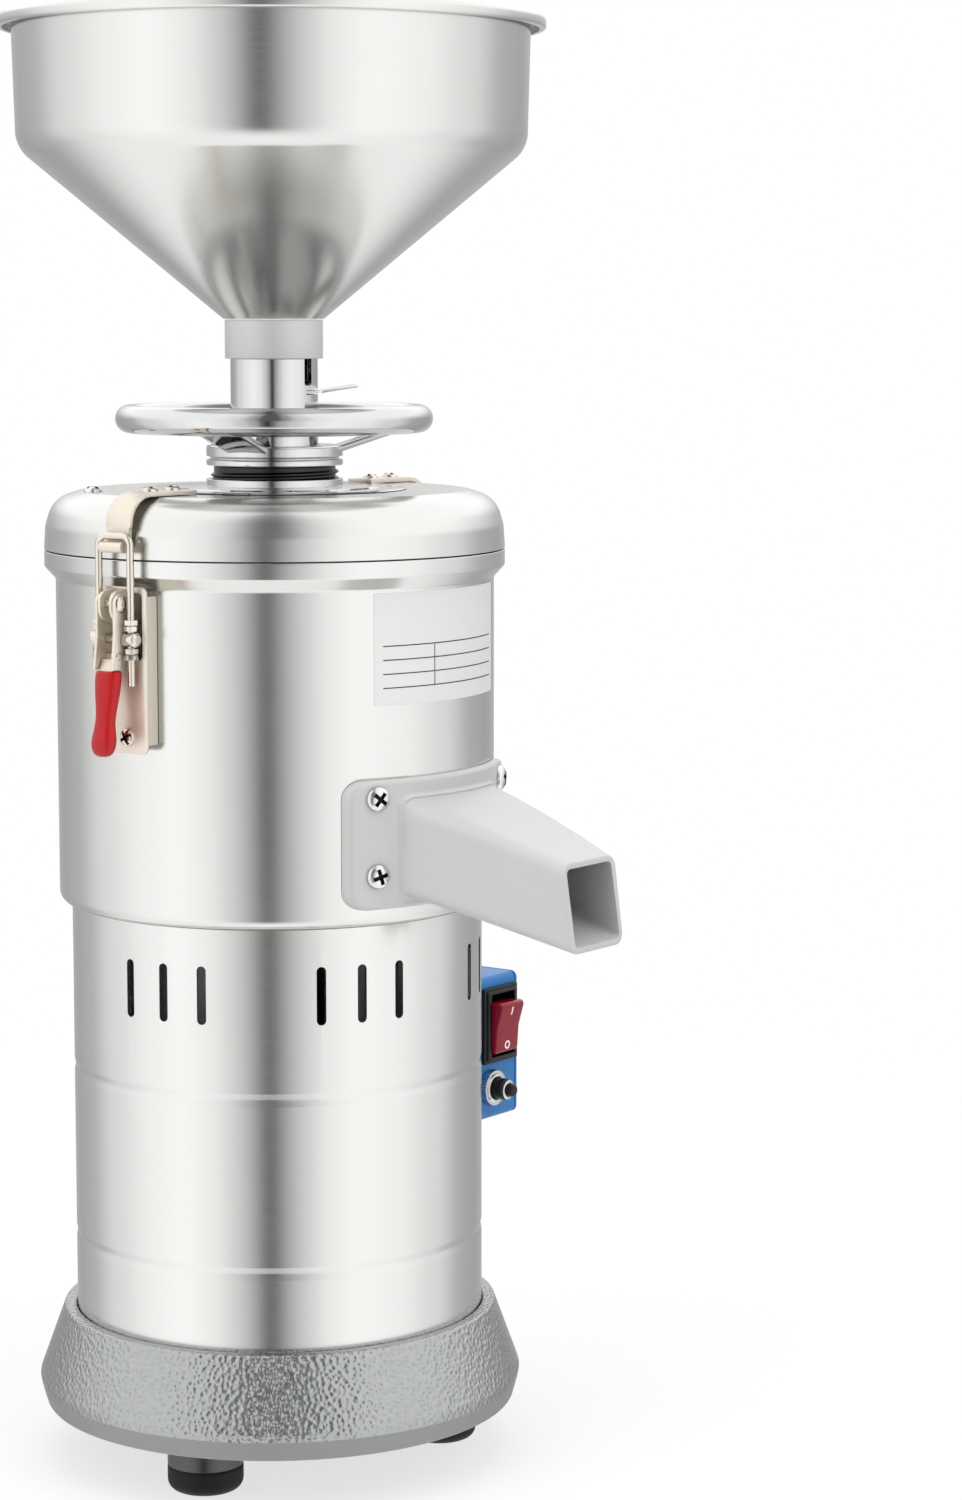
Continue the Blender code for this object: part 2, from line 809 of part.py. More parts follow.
def grinding_discs():
    """Two toothed discs, face to face, whose furrows slant opposite ways and shear the nuts."""
    low, high = LOWER_DISC_Z
    bore = SHAFT_R + GAP
    lower = turned(
        "lower_grinding_disc",
        [
            (bore, high - 4 * MM),
            (23 * MM, high - 4 * MM),
            (36 * MM, high),
            (DISC_R, high),
            (DISC_R, low + 4 * MM),
            (DISC_R - 6 * MM, low),
            (bore, low),
        ],
        "tool_steel",
        sides=MEDIUM,
    )
    long_cut = furrow_cutter("lower_long_furrows", 24 * MM, 72 * MM, high, 3, FURROW_SLANT, 0)
    short_cut = furrow_cutter("lower_short_furrows", 48 * MM, 74 * MM, high, 3, FURROW_SLANT, 22.5)
    cut(lower, long_cut, short_cut)
    low, high = UPPER_DISC_Z
    upper = turned(
        "upper_grinding_disc",
        [
            (DISC_R, high),
            (DISC_R, low),
            (34 * MM, low),
            (FEED_BORE_R, low + 5 * MM),
            (FEED_BORE_R, high),
        ],
        "tool_steel",
        sides=MEDIUM,
    )
    long_cut = furrow_cutter("upper_long_furrows", 24 * MM, 72 * MM, low, 8, -FURROW_SLANT, 0)
    short_cut = furrow_cutter("upper_short_furrows", 48 * MM, 74 * MM, low, 8, -FURROW_SLANT, 22.5)
    cut(upper, long_cut, short_cut)
    nut_low = LOWER_DISC_Z[1] - 4 * MM + GAP
    nut = rod("disc_nut", (0, 0, nut_low), (0, 0, nut_low + 10 * MM), 11 * MM, "stainless", 6)
    bore_cut = rod("nut_bore_cutter", (0, 0, 295 * MM), (0, 0, 330 * MM), SHAFT_THREAD_R + GAP, None)
    cut(nut, bore_cut)


def lid():
    turned(
        "lid",
        [
            (LID_HOLE_R, LID_TOP_Z),
            (86 * MM, LID_TOP_Z),
            (98.5 * MM, 418 * MM, 14 * MM),
            (102.6 * MM, 408 * MM),
            (LID_R, LID_BOTTOM_Z + 3 * MM),
            (LID_R, LID_BOTTOM_Z),
            (100.9 * MM, LID_BOTTOM_Z),
            (98.4 * MM, 409 * MM),
            (86 * MM, LID_TOP_Z - 4 * MM),
            (LID_HOLE_R, LID_TOP_Z - 4 * MM),
        ],
        "stainless",
        steps=2,
    )
    rest = LID_TOP_Z + GAP
    turned(
        "lid_boss",
        [
            (BOSS_BORE_R, 426 * MM),
            (HUB_R, 426 * MM),
            (HUB_R, 424.6 * MM),
            (48 * MM, 424.2 * MM),
            (50 * MM, 422.9 * MM),
            (BOSS_R - 1 * MM, 422.9 * MM),
            (BOSS_R, rest),
            (LID_HOLE_R - GAP, rest),
            (LID_HOLE_R - GAP, 392 * MM),
            (BOSS_BORE_R, 392 * MM),
        ],
        "polished_chrome",
        sides=MEDIUM,
    )


def threaded_sleeve():
    low, high = SLEEVE_Z
    turned(
        "threaded_sleeve",
        [
            (SLEEVE_R, high),
            (SLEEVE_R, low + 6 * MM),
            (SLEEVE_FLANGE_R, low + 6 * MM),
            (SLEEVE_FLANGE_R, low),
            (FEED_BORE_R, low),
            (FEED_BORE_R, high),
        ],
        "dark_steel",
        sides=MEDIUM,
    )


def handwheel():
    """Round rim carried by three flat spokes that slope down to a two-step hub."""
    ring_r = WHEEL_R - WHEEL_TUBE_R
    rim = turned("handwheel", circle(ring_r, WHEEL_Z, WHEEL_TUBE_R, 8, math.pi / 8), "polished_chrome")
    low, high = HUB_Z
    bore = TUBE_R + 0.5 * MM
    hub = turned(
        "hub",
        [
            (bore, high),
            (HUB_R, high, 1 * MM),
            (HUB_R, 436.4 * MM),
            (HUB_R - 1.8 * MM, 435.4 * MM),
            (HUB_R - 1.8 * MM, low),
            (bore, low),
        ],
        "polished_chrome",
        sides=MEDIUM,
        steps=1,
    )
    spokes = []
    start = Vector((HUB_R - 5 * MM, 0, high - 2.5 * MM))
    end = Vector((ring_r - 2 * MM, 0, WHEEL_Z - 2 * MM))
    run = end - start
    slope = Matrix.Rotation(-math.atan2(run.z, run.x), 4, "Y")
    for angle in SPOKE_BEARINGS:
        low_corner = (0, -SPOKE_W / 2, -SPOKE_T / 2)
        spoke = block("spoke", low_corner, (run.length, SPOKE_W / 2, SPOKE_T / 2), "polished_chrome")
        spokes.append(placed(spoke, facing_turn(angle) @ Matrix.Translation(start) @ slope))
    unite(rim, hub, *spokes)


def feed_tube():
    low, high = TUBE_Z
    tube = ring_part("feed_tube", TUBE_R - TUBE_T, TUBE_R, low, high, "polished_chrome", MEDIUM)
    bayonet = block(
        "bayonet_cutter",
        (-BAYONET_W / 2, -25 * MM, BAYONET_Z),
        (BAYONET_W / 2, -15 * MM, 482 * MM),
        None,
    )
    slit = block(
        "gate_slit_cutter",
        (9 * MM, -GATE_HALF_W - 0.6 * MM, GATE_Z - GATE_T),
        (26 * MM, GATE_HALF_W + 0.6 * MM, GATE_Z + GATE_T),
        None,
    )
    cut(tube, bayonet, placed(slit, facing_turn(GATE_BEARING)))
    feed_gate()


def feed_gate():
    """Flat slide across the feed tube, with a round inner end and a tab bent up to pull it by."""
    half = GATE_HALF_W
    inner = [(-3 * MM - half * math.sin(a), half * math.cos(a)) for a in (math.pi * k / 8 for k in range(9))]
    corners = [(21.5 * MM, half, 3 * MM), *inner, (21.5 * MM, -half, 3 * MM)]
    gate = plate("feed_gate", corners, GATE_Z - GATE_T / 2, GATE_Z + GATE_T / 2, "zinc_plate", 2, False)
    tab = block("tab", (0, -9 * MM, -GATE_T / 2), (17 * MM, 9 * MM, GATE_T / 2), "zinc_plate")
    tilt = Matrix.Rotation(-math.radians(GATE_TAB_TILT), 4, "Y")
    placed(tab, Matrix.Translation((20.5 * MM, 0, GATE_Z)) @ tilt)
    unite(gate, tab)
    placed(gate, facing_turn(GATE_BEARING))


def hopper():
    """Spun sheet: the bowl side of the metal, from the rolled lip down to the collar."""
    wall = HOPPER_R - HOPPER_T
    collar = COLLAR_R - HOPPER_T
    top = HOPPER_TOP_Z
    rim = HOPPER_RIM_R
    turned(
        "hopper",
        [
            (rim - 3 * MM, top - 6 * MM),
            (rim, top - 5 * MM),
            (rim, top, 2.4 * MM, 1),
            (wall + 0.4 * MM, top),
            (wall - 1.6 * MM, HOPPER_CORNER_Z + 1 * MM, 14 * MM),
            (collar, COLLAR_Z[1] - 0.3 * MM),
            (collar, COLLAR_Z[0]),
        ],
        "stainless",
        steps=2,
        shell=HOPPER_T,
    )


def tapered(name, root_y, root_half, root_z, end_y, end_half, end_z, finish, edge=0):
    """A square duct that narrows from its root to its end, whose end face may lean.

    end_y holds the end's place at its lower and at its upper edge.
    """
    bm = bmesh.new()
    bmesh.ops.create_cube(bm, size=2)
    for vert in bm.verts:
        upper = vert.co.z > 0
        if vert.co.y > 0:
            vert.co = Vector((vert.co.x * root_half, root_y, root_z[upper]))
        else:
            vert.co = Vector((vert.co.x * end_half, end_y[upper], end_z[upper]))
    if edge:
        long_edges = [e for e in bm.edges if abs(e.verts[0].co.y - e.verts[1].co.y) > 20 * MM]
        bmesh.ops.bevel(
            bm, geom=long_edges, offset=edge, segments=3, profile=0.5, affect="EDGES", material=-1
        )
    return settle(add(name, mesh_of(name, bm), finish))


def spout_screw_cutters(name):
    """Clearance holes for the four spout screws."""
    holes = []
    for direction, height in spout_screw_places():
        start = direction * 92 * MM + Vector((0, 0, height))
        end = direction * 110 * MM + Vector((0, 0, height))
        holes.append(rod(f"{name}_screw_cutter", start, end, SCREW_R + GAP, None, LEAST))
    return holes


def spout_screw_places():
    sides = (-SPOUT_SCREW_ANGLE, SPOUT_SCREW_ANGLE)
    return [(facing(angle), height) for height in SPOUT_SCREW_Z for angle in sides]


def spout():
    low, high = SPOUT_PLATE_Z
    inner, outer = SPOUT_PLATE_R
    spout_ring = ring_part("discharge_spout", inner, outer, low - 5 * MM, high + 5 * MM, "cast_aluminium", LARGE)
    half = SPOUT_PLATE_HALF_W
    corner = 8 * MM
    corners = [(-half, low, corner), (half, low, corner), (half, high, corner), (-half, high, corner)]
    window = plate("spout_plate_guide", corners, -120 * MM, -70 * MM, None)
    boolean(spout_ring, [window], "INTERSECT")
    chute = tapered(
        "chute",
        SPOUT_ROOT_Y,
        SPOUT_ROOT_HALF_W,
        SPOUT_ROOT_Z,
        SPOUT_END_Y,
        SPOUT_END_HALF_W,
        SPOUT_END_Z,
        "cast_aluminium",
        edge=4 * MM,
    )
    unite(spout_ring, chute)
    wall = SPOUT_WALL
    seat = turned(
        "spout_seat_cutter",
        [(0, 320 * MM), (inner, 320 * MM), (inner, 210 * MM), (0, 210 * MM)],
        None,
    )
    channel = tapered(
        "spout_channel_cutter",
        SPOUT_ROOT_Y + 10 * MM,
        SPOUT_ROOT_HALF_W - wall + 1 * MM,
        (SPOUT_ROOT_Z[0] + wall, SPOUT_ROOT_Z[1] - wall),
        (SPOUT_END_Y[0] - 5 * MM, SPOUT_END_Y[1] - 5 * MM),
        SPOUT_END_HALF_W - wall,
        (SPOUT_END_Z[0] + wall - 1 * MM, SPOUT_END_Z[1] - wall - 1 * MM),
        None,
        edge=2 * MM,
    )
    cut(spout_ring, seat, channel, *spout_screw_cutters("spout"))
    for number, (direction, height) in enumerate(spout_screw_places(), 1):
        spout_screw(number, direction, height)


def spout_screw(number, direction, height):
    """Pan-head screw, modelled upright and then laid along its direction."""
    screw = turned(
        f"spout_screw_{number}",
        [
            (0, SCREW_HEAD_H),
            (SCREW_HEAD_R, SCREW_HEAD_H, 2 * MM),
            (SCREW_HEAD_R, 0),
            (SCREW_R, 0),
            (SCREW_R, -SCREW_LENGTH),
            (0, -SCREW_LENGTH),
        ],
        "zinc_plate",
        sides=LEAST,
        steps=1,
    )
    lay = direction.to_track_quat("Z", "Y").to_matrix().to_4x4()
    seat = direction * (SPOUT_PLATE_R[1] + GAP)
    return placed(screw, Matrix.Translation(seat + Vector((0, 0, height))) @ lay)


def control_box():
    low = Vector((BOX_X[0], -BOX_Y, BOX_Z[0]))
    high = Vector((BOX_X[1] + 5 * MM, BOX_Y, BOX_Z[1]))
    wall = Vector((0, BOX_WALL, BOX_WALL))
    body = block("control_box", low, high, "blue_paint", bevel=3 * MM)
    flat_end = block(
        "box_end_cutter",
        (BOX_X[1], -40 * MM, 100 * MM),
        (BOX_X[1] + 9 * MM, 40 * MM, 190 * MM),
        None,
    )
    inside_low = Vector((BOX_BACK_X, low.y, low.z)) + wall
    inside = block("box_inside_cutter", inside_low, high - wall, None)
    seat = turned(
        "box_seat_cutter",
        [(0, 200 * MM), (SHELL_R + GAP, 200 * MM), (SHELL_R + GAP, 100 * MM), (0, 100 * MM)],
        None,
    )
    middle = 150 * MM
    wires = rod("box_wire_cutter", (90 * MM, 0, middle), (100 * MM, 0, middle), 6 * MM, None)
    reset = rod("box_reset_cutter", (RESET_X, -45 * MM, RESET_Z), (RESET_X, -30 * MM, RESET_Z), 5.6 * MM, None)
    switch = block(
        "box_switch_cutter",
        (SWITCH_X[0] + 2 * MM, -45 * MM, SWITCH_Z[0] + 2 * MM),
        (SWITCH_X[1] - 2 * MM, -30 * MM, SWITCH_Z[1] - 2 * MM),
        None,
    )
    gland = rod("box_gland_cutter", (GLAND_X, 30 * MM, GLAND_Z), (GLAND_X, 45 * MM, GLAND_Z), 7 * MM, None)
    cut(body, flat_end, inside, seat, wires, reset, switch, gland)
    cover_x = BOX_X[1] + GAP
    block(
        "control_box_cover",
        (cover_x, -BOX_Y, BOX_Z[0]),
        (cover_x + BOX_COVER_T, BOX_Y, BOX_Z[1]),
        "blue_paint",
        bevel=1 * MM,
    )
    capacitor = (118 * MM, 16 * MM)
    rod(
        "run_capacitor",
        (*capacitor, BOX_Z[0] + BOX_WALL + GAP),
        (*capacitor, 170 * MM),
        CAPACITOR_R,
        "grey_plastic",
        SMALL,
    )
    switch_parts()
    reset_parts()
    cable_gland()


def switch_parts():
    """Square rocker switch: a black housing through the box's wall, and the rocker on its pivot."""
    face = SWITCH_FACE_Y
    bezel = block(
        "switch_housing",
        (SWITCH_X[0], face, SWITCH_Z[0]),
        (SWITCH_X[1], -BOX_Y - GAP, SWITCH_Z[1]),
        "black_plastic",
        bevel=1.2 * MM,
    )
    body = block(
        "switch_body",
        (SWITCH_X[0] + 2.4 * MM, -BOX_Y - 2 * MM, SWITCH_Z[0] + 2.4 * MM),
        (SWITCH_X[1] - 2.4 * MM, SWITCH_DEPTH_Y, SWITCH_Z[1] - 2.4 * MM),
        "black_plastic",
    )
    unite(bezel, body)
    well = block(
        "switch_well_cutter",
        (ROCKER_PIVOT.x - ROCKER_HALF_W - 0.5 * MM, face - 5 * MM, ROCKER_PIVOT.z - 15.4 * MM),
        (ROCKER_PIVOT.x + ROCKER_HALF_W + 0.5 * MM, -22 * MM, ROCKER_PIVOT.z + 15.4 * MM),
        None,
    )
    cut(bezel, well)
    corners = [
        (-9 * MM, 13.5 * MM, 1 * MM),
        (-5.5 * MM, 0),
        (-9 * MM, -13.5 * MM, 1 * MM),
        (4 * MM, -10 * MM),
        (4 * MM, 10 * MM),
    ]
    rocker = plate("switch_rocker", corners, -ROCKER_HALF_W, ROCKER_HALF_W, "red_rocker", 2)
    stand = Matrix.Rotation(math.pi / 2, 4, "Z")
    tilt = Matrix.Rotation(math.radians(ROCKER_TILT), 4, "X")
    placed(rocker, Matrix.Translation(ROCKER_PIVOT) @ tilt @ stand)
    hang_on(axis_empty("rocker_axis", ROCKER_PIVOT), rocker)


def reset_parts():
    nut = turned(
        "reset_nut",
        [
            (5.6 * MM, 5 * MM),
            (7.2 * MM, 5 * MM),
            (8.2 * MM, 4.2 * MM),
            (8.2 * MM, GAP),
            (5.6 * MM, GAP),
        ],
        "polished_chrome",
        sides=SMALL,
    )
    along_y(nut, RESET_X, -BOX_Y, RESET_Z)
    button = turned(
        "reset_button",
        [
            (0, 15 * MM),
            (3.2 * MM, 15 * MM, 1 * MM),
            (3.2 * MM, 11 * MM),
            (5.2 * MM, 10 * MM),
            (5.2 * MM, -8 * MM),
            (0, -8 * MM),
        ],
        "black_plastic",
        sides=TINY,
        steps=1,
    )
    along_y(button, RESET_X, -BOX_Y, RESET_Z)
    hang_on(axis_empty("reset_button_axis", (RESET_X, -BOX_Y, RESET_Z)), button)


def cable_gland():
    """Dome-nut gland in the box's far side, with its cable bore left open."""
    gland = turned(
        "cable_gland",
        [
            (3.6 * MM, 16 * MM),
            (6 * MM, 16 * MM, 1.5 * MM),
            (8.6 * MM, 9 * MM),
            (8.6 * MM, 5 * MM),
            (9.6 * MM, 5 * MM),
            (9.6 * MM, GAP),
            (6.6 * MM, GAP),
            (6.6 * MM, -7 * MM),
            (3.6 * MM, -7 * MM),
        ],
        "black_plastic",
        sides=TINY,
        steps=1,
    )
    back = Matrix.Translation((GLAND_X, BOX_Y, GLAND_Z)) @ Matrix.Rotation(-math.pi / 2, 4, "X")
    placed(gland, back)


def latch_base(name):
    """Channel that stands off the housing, with two ears for the lever's pivot and their windows."""
    low, high = PLATE_Z
    half = PLATE_HALF_W
    face = PLATE_OUT
    corners = [(-half, low, 3 * MM), (half, low, 3 * MM), (half, high, 3 * MM), (-half, high, 3 * MM)]
    base_plate = plate(name, corners, -face, -face + PLATE_T, "zinc_plate", 2)
    placed(base_plate, Matrix.Rotation(math.pi / 2, 4, "Z"))
    extras = []
    for side in (-1, 1):
        edge = sorted((side * half, side * (half - PLATE_T)))
        extras.append(
            block(
                "flange",
                (98.9 * MM, edge[0], low + 4 * MM),
                (face - 0.5 * MM, edge[1], high - 4 * MM),
                "zinc_plate",
            )
        )
        ear = [
            (face - 0.5 * MM, PIVOT_Z - 10 * MM),
            (PIVOT_OUT + 4.5 * MM, PIVOT_Z - 6.5 * MM, 5.5 * MM),
            (PIVOT_OUT + 4.5 * MM, PIVOT_Z + 5 * MM, 4.5 * MM),
            (face - 0.5 * MM, PIVOT_Z + 6.5 * MM),
        ]
        edge = sorted((side * EAR_Y[0], side * EAR_Y[1]))
        extras.append(plate("ear", ear, edge[0], edge[1], "zinc_plate", 2))
    unite(base_plate, *extras)
    hole = rod(
        "ear_hole_cutter",
        (PIVOT_OUT, -12 * MM, PIVOT_Z),
        (PIVOT_OUT, 12 * MM, PIVOT_Z),
        PIVOT_R + GAP,
        None,
        LEAST,
    )
    windows = [
        block(
            "ear_window_cutter",
            (face - 4 * MM, min(side * 4.8 * MM, side * 11.2 * MM), 353 * MM),
            (face + 4 * MM, max(side * 4.8 * MM, side * 11.2 * MM), 379 * MM),
            None,
        )
        for side in (-1, 1)
    ]
    return cut(base_plate, hole, *windows)


def latch_pivot(name):
    """Riveted pin whose heads hold the lever between them."""
    head_r = 3.8 * MM
    inner = LEVER_Y[1] + GAP
    outer = inner + 0.9 * MM
    pin = turned(
        name,
        [
            (0, outer),
            (head_r - 1 * MM, outer),
            (head_r, inner),
            (PIVOT_R, inner),
            (PIVOT_R, -inner),
            (head_r, -inner),
            (head_r - 1 * MM, -outer),
            (0, -outer),
        ],
        "zinc_plate",
        sides=LEAST,
    )
    return along_y(pin, PIVOT_OUT, 0, PIVOT_Z)


def latch_lever(name):
    """Pressed channel: two cheeks on the pivot, a web between them, and a tang in the grip."""
    cheek = [
        (PIVOT_OUT - 4.2 * MM, PIVOT_Z + 4.2 * MM, 3.5 * MM),
        (PIVOT_OUT + 4.4 * MM, PIVOT_Z + 4.2 * MM, 3.5 * MM),
        (PIVOT_OUT + 4.4 * MM, 362 * MM),
        (118 * MM, 347.5 * MM),
        (110.5 * MM, 347.5 * MM),
        (TRUNNION_OUT - 3.1 * MM, TRUNNION_Z - 4 * MM, 3 * MM),
        (TRUNNION_OUT - 3.1 * MM, TRUNNION_Z + 5 * MM),
    ]
    left = plate(name, cheek, LEVER_Y[0], LEVER_Y[1], "zinc_plate", 1)
    right = plate("cheek", cheek, -LEVER_Y[1], -LEVER_Y[0], "zinc_plate", 1)
    web = [
        (PIVOT_OUT + 3.2 * MM, 364 * MM),
        (PIVOT_OUT + 4.4 * MM, 364 * MM),
        (PIVOT_OUT + 4.4 * MM, 362 * MM),
        (118 * MM, 347.5 * MM),
        (114.5 * MM, 347.5 * MM),
    ]
    web = plate("web", web, -LEVER_Y[1] + 0.5 * MM, LEVER_Y[1] - 0.5 * MM, "zinc_plate")
    tang = [
        (113.5 * MM, 349 * MM),
        (116 * MM, 349 * MM),
        (118.6 * MM, 324 * MM),
        (116.6 * MM, 324 * MM),
    ]
    tang = plate("tang", tang, -3.6 * MM, 3.6 * MM, "zinc_plate")
    unite(left, right, web, tang)
    holes = [
        rod("lever_cutter", (out, -12 * MM, height), (out, 12 * MM, height), PIVOT_R + GAP, None, LEAST)
        for out, height in ((PIVOT_OUT, PIVOT_Z), (TRUNNION_OUT, TRUNNION_Z))
    ]
    return cut(left, *holes)


def latch_grip(name):
    """Dipped vinyl sleeve with a waist and a rounded tip, skinned over six oval rings."""
    rings = [
        (346.8, 113.9, 4.2, 5.9),
        (340, 114.7, 4.4, 6.1),
        (331, 115.8, 3.9, 5.4),
        (319, 117.5, 4.7, 6.4),
        (312.5, 118.1, 3.9, 5.2),
        (309.9, 118.3, 1.8, 2.4),
    ]
    sides = LEAST
    bm = bmesh.new()
    loops = []
    for height, out, deep, wide in rings:
        made = bmesh.ops.create_circle(bm, cap_ends=False, radius=1, segments=sides)["verts"]
        bmesh.ops.scale(bm, vec=(deep * MM, wide * MM, 1), verts=made)
        bmesh.ops.translate(bm, vec=(out * MM, 0, height * MM), verts=made)
        loops.append(made)
    for above, below in zip(loops, loops[1:]):
        for index in range(sides):
            other = (index + 1) % sides
            bm.faces.new((above[index], below[index], below[other], above[other]))
    bm.faces.new(loops[0])
    bm.faces.new(reversed(loops[-1]))
    grip = settle(add(name, mesh_of(name, bm), "red_vinyl"), recalculate=True)
    socket = [
        (112.9 * MM, 355 * MM),
        (115.8 * MM, 355 * MM),
        (119.1 * MM, 323.4 * MM),
        (116.1 * MM, 323.4 * MM),
    ]
    return cut(grip, plate("grip_socket_cutter", socket, -4.1 * MM, 4.1 * MM, None))


def latch_trunnion(name):
    """Cross pin of the lever, with thick ends that the bail's legs pass through."""
    barrel = 3 * MM
    inner = 6.2 * MM
    outer = 12 * MM
    pin = turned(
        name,
        [
            (0, 13 * MM),
            (1.6 * MM, 13 * MM),
            (barrel, outer),
            (barrel, inner),
            (PIVOT_R, inner),
            (PIVOT_R, -inner),
            (barrel, -inner),
            (barrel, -outer),
            (1.6 * MM, -13 * MM),
            (0, -13 * MM),
        ],
        "zinc_plate",
        sides=LEAST,
    )
    along_y(pin, TRUNNION_OUT, 0, TRUNNION_Z)
    legs = [
        rod(
            "leg_cutter",
            (TRUNNION_OUT, side * BAIL_HALF_W, TRUNNION_Z - 8 * MM),
            (TRUNNION_OUT, side * BAIL_HALF_W, TRUNNION_Z + 8 * MM),
            BAIL_R + GAP,
            None,
            LEAST,
        )
        for side in (-1, 1)
    ]
    return cut(pin, *legs)


def latch_bail(name):
    """U-shaped threaded wire that hooks over the strap's ledge."""
    half = BAIL_HALF_W
    corners = [
        (-half, BAIL_END_Z),
        (-half, BAIL_TOP_Z, 4 * MM),
        (half, BAIL_TOP_Z, 4 * MM),
        (half, BAIL_END_Z),
    ]
    path = [(TRUNNION_OUT, p.x, p.y) for p in outline(corners, closed=False, steps=3)]
    return wire(name, path, BAIL_R, "zinc_plate")


def lid_strap(name):
    """Strip screwed to the lid that bends down over its edge and ends in a flat ledge."""
    top = LID_TOP_Z + GAP
    out = STRAP_OUT
    thick = STRAP_T
    bend = 12 * MM
    corners = [
        (STRAP_START, top),
        (out, top, bend),
        (out, LEDGE_Z - thick, 0.6 * MM),
        (LEDGE_OUT, LEDGE_Z - thick),
        (LEDGE_OUT, LEDGE_Z),
        (out + thick, LEDGE_Z),
        (out + thick, top + thick, bend + thick),
        (STRAP_START, top + thick),
    ]
    strap = plate(name, corners, -STRAP_HALF_W, STRAP_HALF_W, "zinc_plate")
    sides = [
        block(
            "tongue_cutter",
            (100 * MM, min(side * TONGUE_HALF_W, side * 20 * MM), 395 * MM),
            (120 * MM, max(side * TONGUE_HALF_W, side * 20 * MM), 409 * MM),
            None,
        )
        for side in (-1, 1)
    ]
    return cut(strap, *sides)


def latches():
    """Two equal over-centre latches, half a turn apart. Each is made at +X and turned to its side."""
    for word, turn in (("left", math.pi), ("right", 0)):
        side = Matrix.Rotation(turn, 4, "Z")
        fixed = [
            latch_base(f"latch_base_{word}"),
            latch_pivot(f"latch_pivot_{word}"),
            lid_strap(f"lid_strap_{word}"),
        ]
        lever = [latch_lever(f"latch_lever_{word}"), latch_grip(f"latch_grip_{word}")]
        bail = [latch_trunnion(f"latch_trunnion_{word}"), latch_bail(f"latch_bail_{word}")]
        for obj in fixed + lever + bail:
            placed(obj, side)
        lever_axis = axis_empty(f"lever_axis_{word}", side @ Vector((PIVOT_OUT, 0, PIVOT_Z)))
        bail_axis = axis_empty(f"bail_axis_{word}", side @ Vector((TRUNNION_OUT, 0, TRUNNION_Z)))
        hang_on(lever_axis, bail_axis, *lever)
        hang_on(bail_axis, *bail)


def main():
    clear_scene()
    base()
    motor_shell()
    motor()
    housing()
    sweeper()
    grinding_discs()
    lid()
    threaded_sleeve()
    handwheel()
    feed_tube()
    hopper()
    spout()
    control_box()
    latches()


main()
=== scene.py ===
"""Peanut butter machine, dressed: an upright nut grinder with its hopper, handwheel and latches.

Lengths are in millimetres in the code and become metres in the meshes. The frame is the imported
model's own: +Z up along the motor shaft, the spout at -Y, the control box at +X, and the floor
25 mm below the origin. Every piece is built with bmesh operators in place, round the machine's
axis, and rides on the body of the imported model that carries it.
"""

import logging
import math
from dataclasses import astuple, dataclass
from enum import Enum
from typing import Callable, Iterable, Sequence

import bmesh
import bpy
from bmesh.types import BMEdge, BMesh, BMFace, BMVert
from bpy.types import ColorRamp, Material, Mesh, Node, NodeSocket, NodeTree, Object
from mathutils import Matrix, Vector


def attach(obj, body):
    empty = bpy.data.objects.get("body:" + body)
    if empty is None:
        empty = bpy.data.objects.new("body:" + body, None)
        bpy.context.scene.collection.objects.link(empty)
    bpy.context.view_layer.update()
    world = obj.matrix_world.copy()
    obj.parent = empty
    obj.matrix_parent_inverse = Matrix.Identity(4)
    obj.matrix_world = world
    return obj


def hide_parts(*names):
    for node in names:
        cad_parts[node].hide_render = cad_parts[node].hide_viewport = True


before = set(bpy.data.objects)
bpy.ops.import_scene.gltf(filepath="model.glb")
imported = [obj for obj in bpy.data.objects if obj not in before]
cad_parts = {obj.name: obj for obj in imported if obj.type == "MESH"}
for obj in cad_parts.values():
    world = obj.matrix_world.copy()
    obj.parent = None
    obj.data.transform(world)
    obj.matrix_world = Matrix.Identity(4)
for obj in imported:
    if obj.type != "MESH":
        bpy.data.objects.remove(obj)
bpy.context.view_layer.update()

MM = 0.001
FLOOR_Z = -25.0
SAME_POINT = 0.002 * MM
# How fast a turned surface's pattern drifts across the axis, so that its rings aren't perfect
RING_DRIFT = 0.03

LOG = logging.getLogger("peanut_butter_machine")

Corner = tuple[float, ...]
Point = tuple[float, float, float]


class Facets(Enum):
    """How many facets a full turn gets, by the size of what is turned."""

    BODY = 128
    HUB = 96
    KNOB = 48
    SCREW = 24


class Body(Enum):
    """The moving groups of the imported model."""

    MACHINE = "machine"
    ADJUSTER = "adjuster"
    HANDWHEEL = "handwheel"
    HOPPER = "hopper"
    GATE = "feed_gate"
    ROCKER = "switch_rocker"
    RESET = "reset_button"


class Side(Enum):
    """The two latches: the turn about Z that takes one built at +X to its own side."""

    LEFT = 180.0
    RIGHT = 0.0

    @property
    def word(self) -> str:
        """The word that ends the names on this side."""
        return self.name.lower()


class Pattern(Enum):
    """Kinds of unevenness: grainy, hammered cells, or lines that run round the axis."""

    GRAIN = "grain"
    CELLS = "cells"
    TURNED = "turned"


def linear(colour: str) -> tuple[float, float, float, float]:
    """Turns an sRGB hex colour into the linear one that shaders take.

    Args:
        colour: the colour as six hex digits, such as "c8c8c4".

    Returns:
        Linear red, green, blue and an alpha of 1.
    """
    levels = [int(colour[at : at + 2], 16) / 255 for at in (0, 2, 4)]
    red, green, blue = (v / 12.92 if v <= 0.04045 else ((v + 0.055) / 1.055) ** 2.4 for v in levels)
    return red, green, blue, 1.0


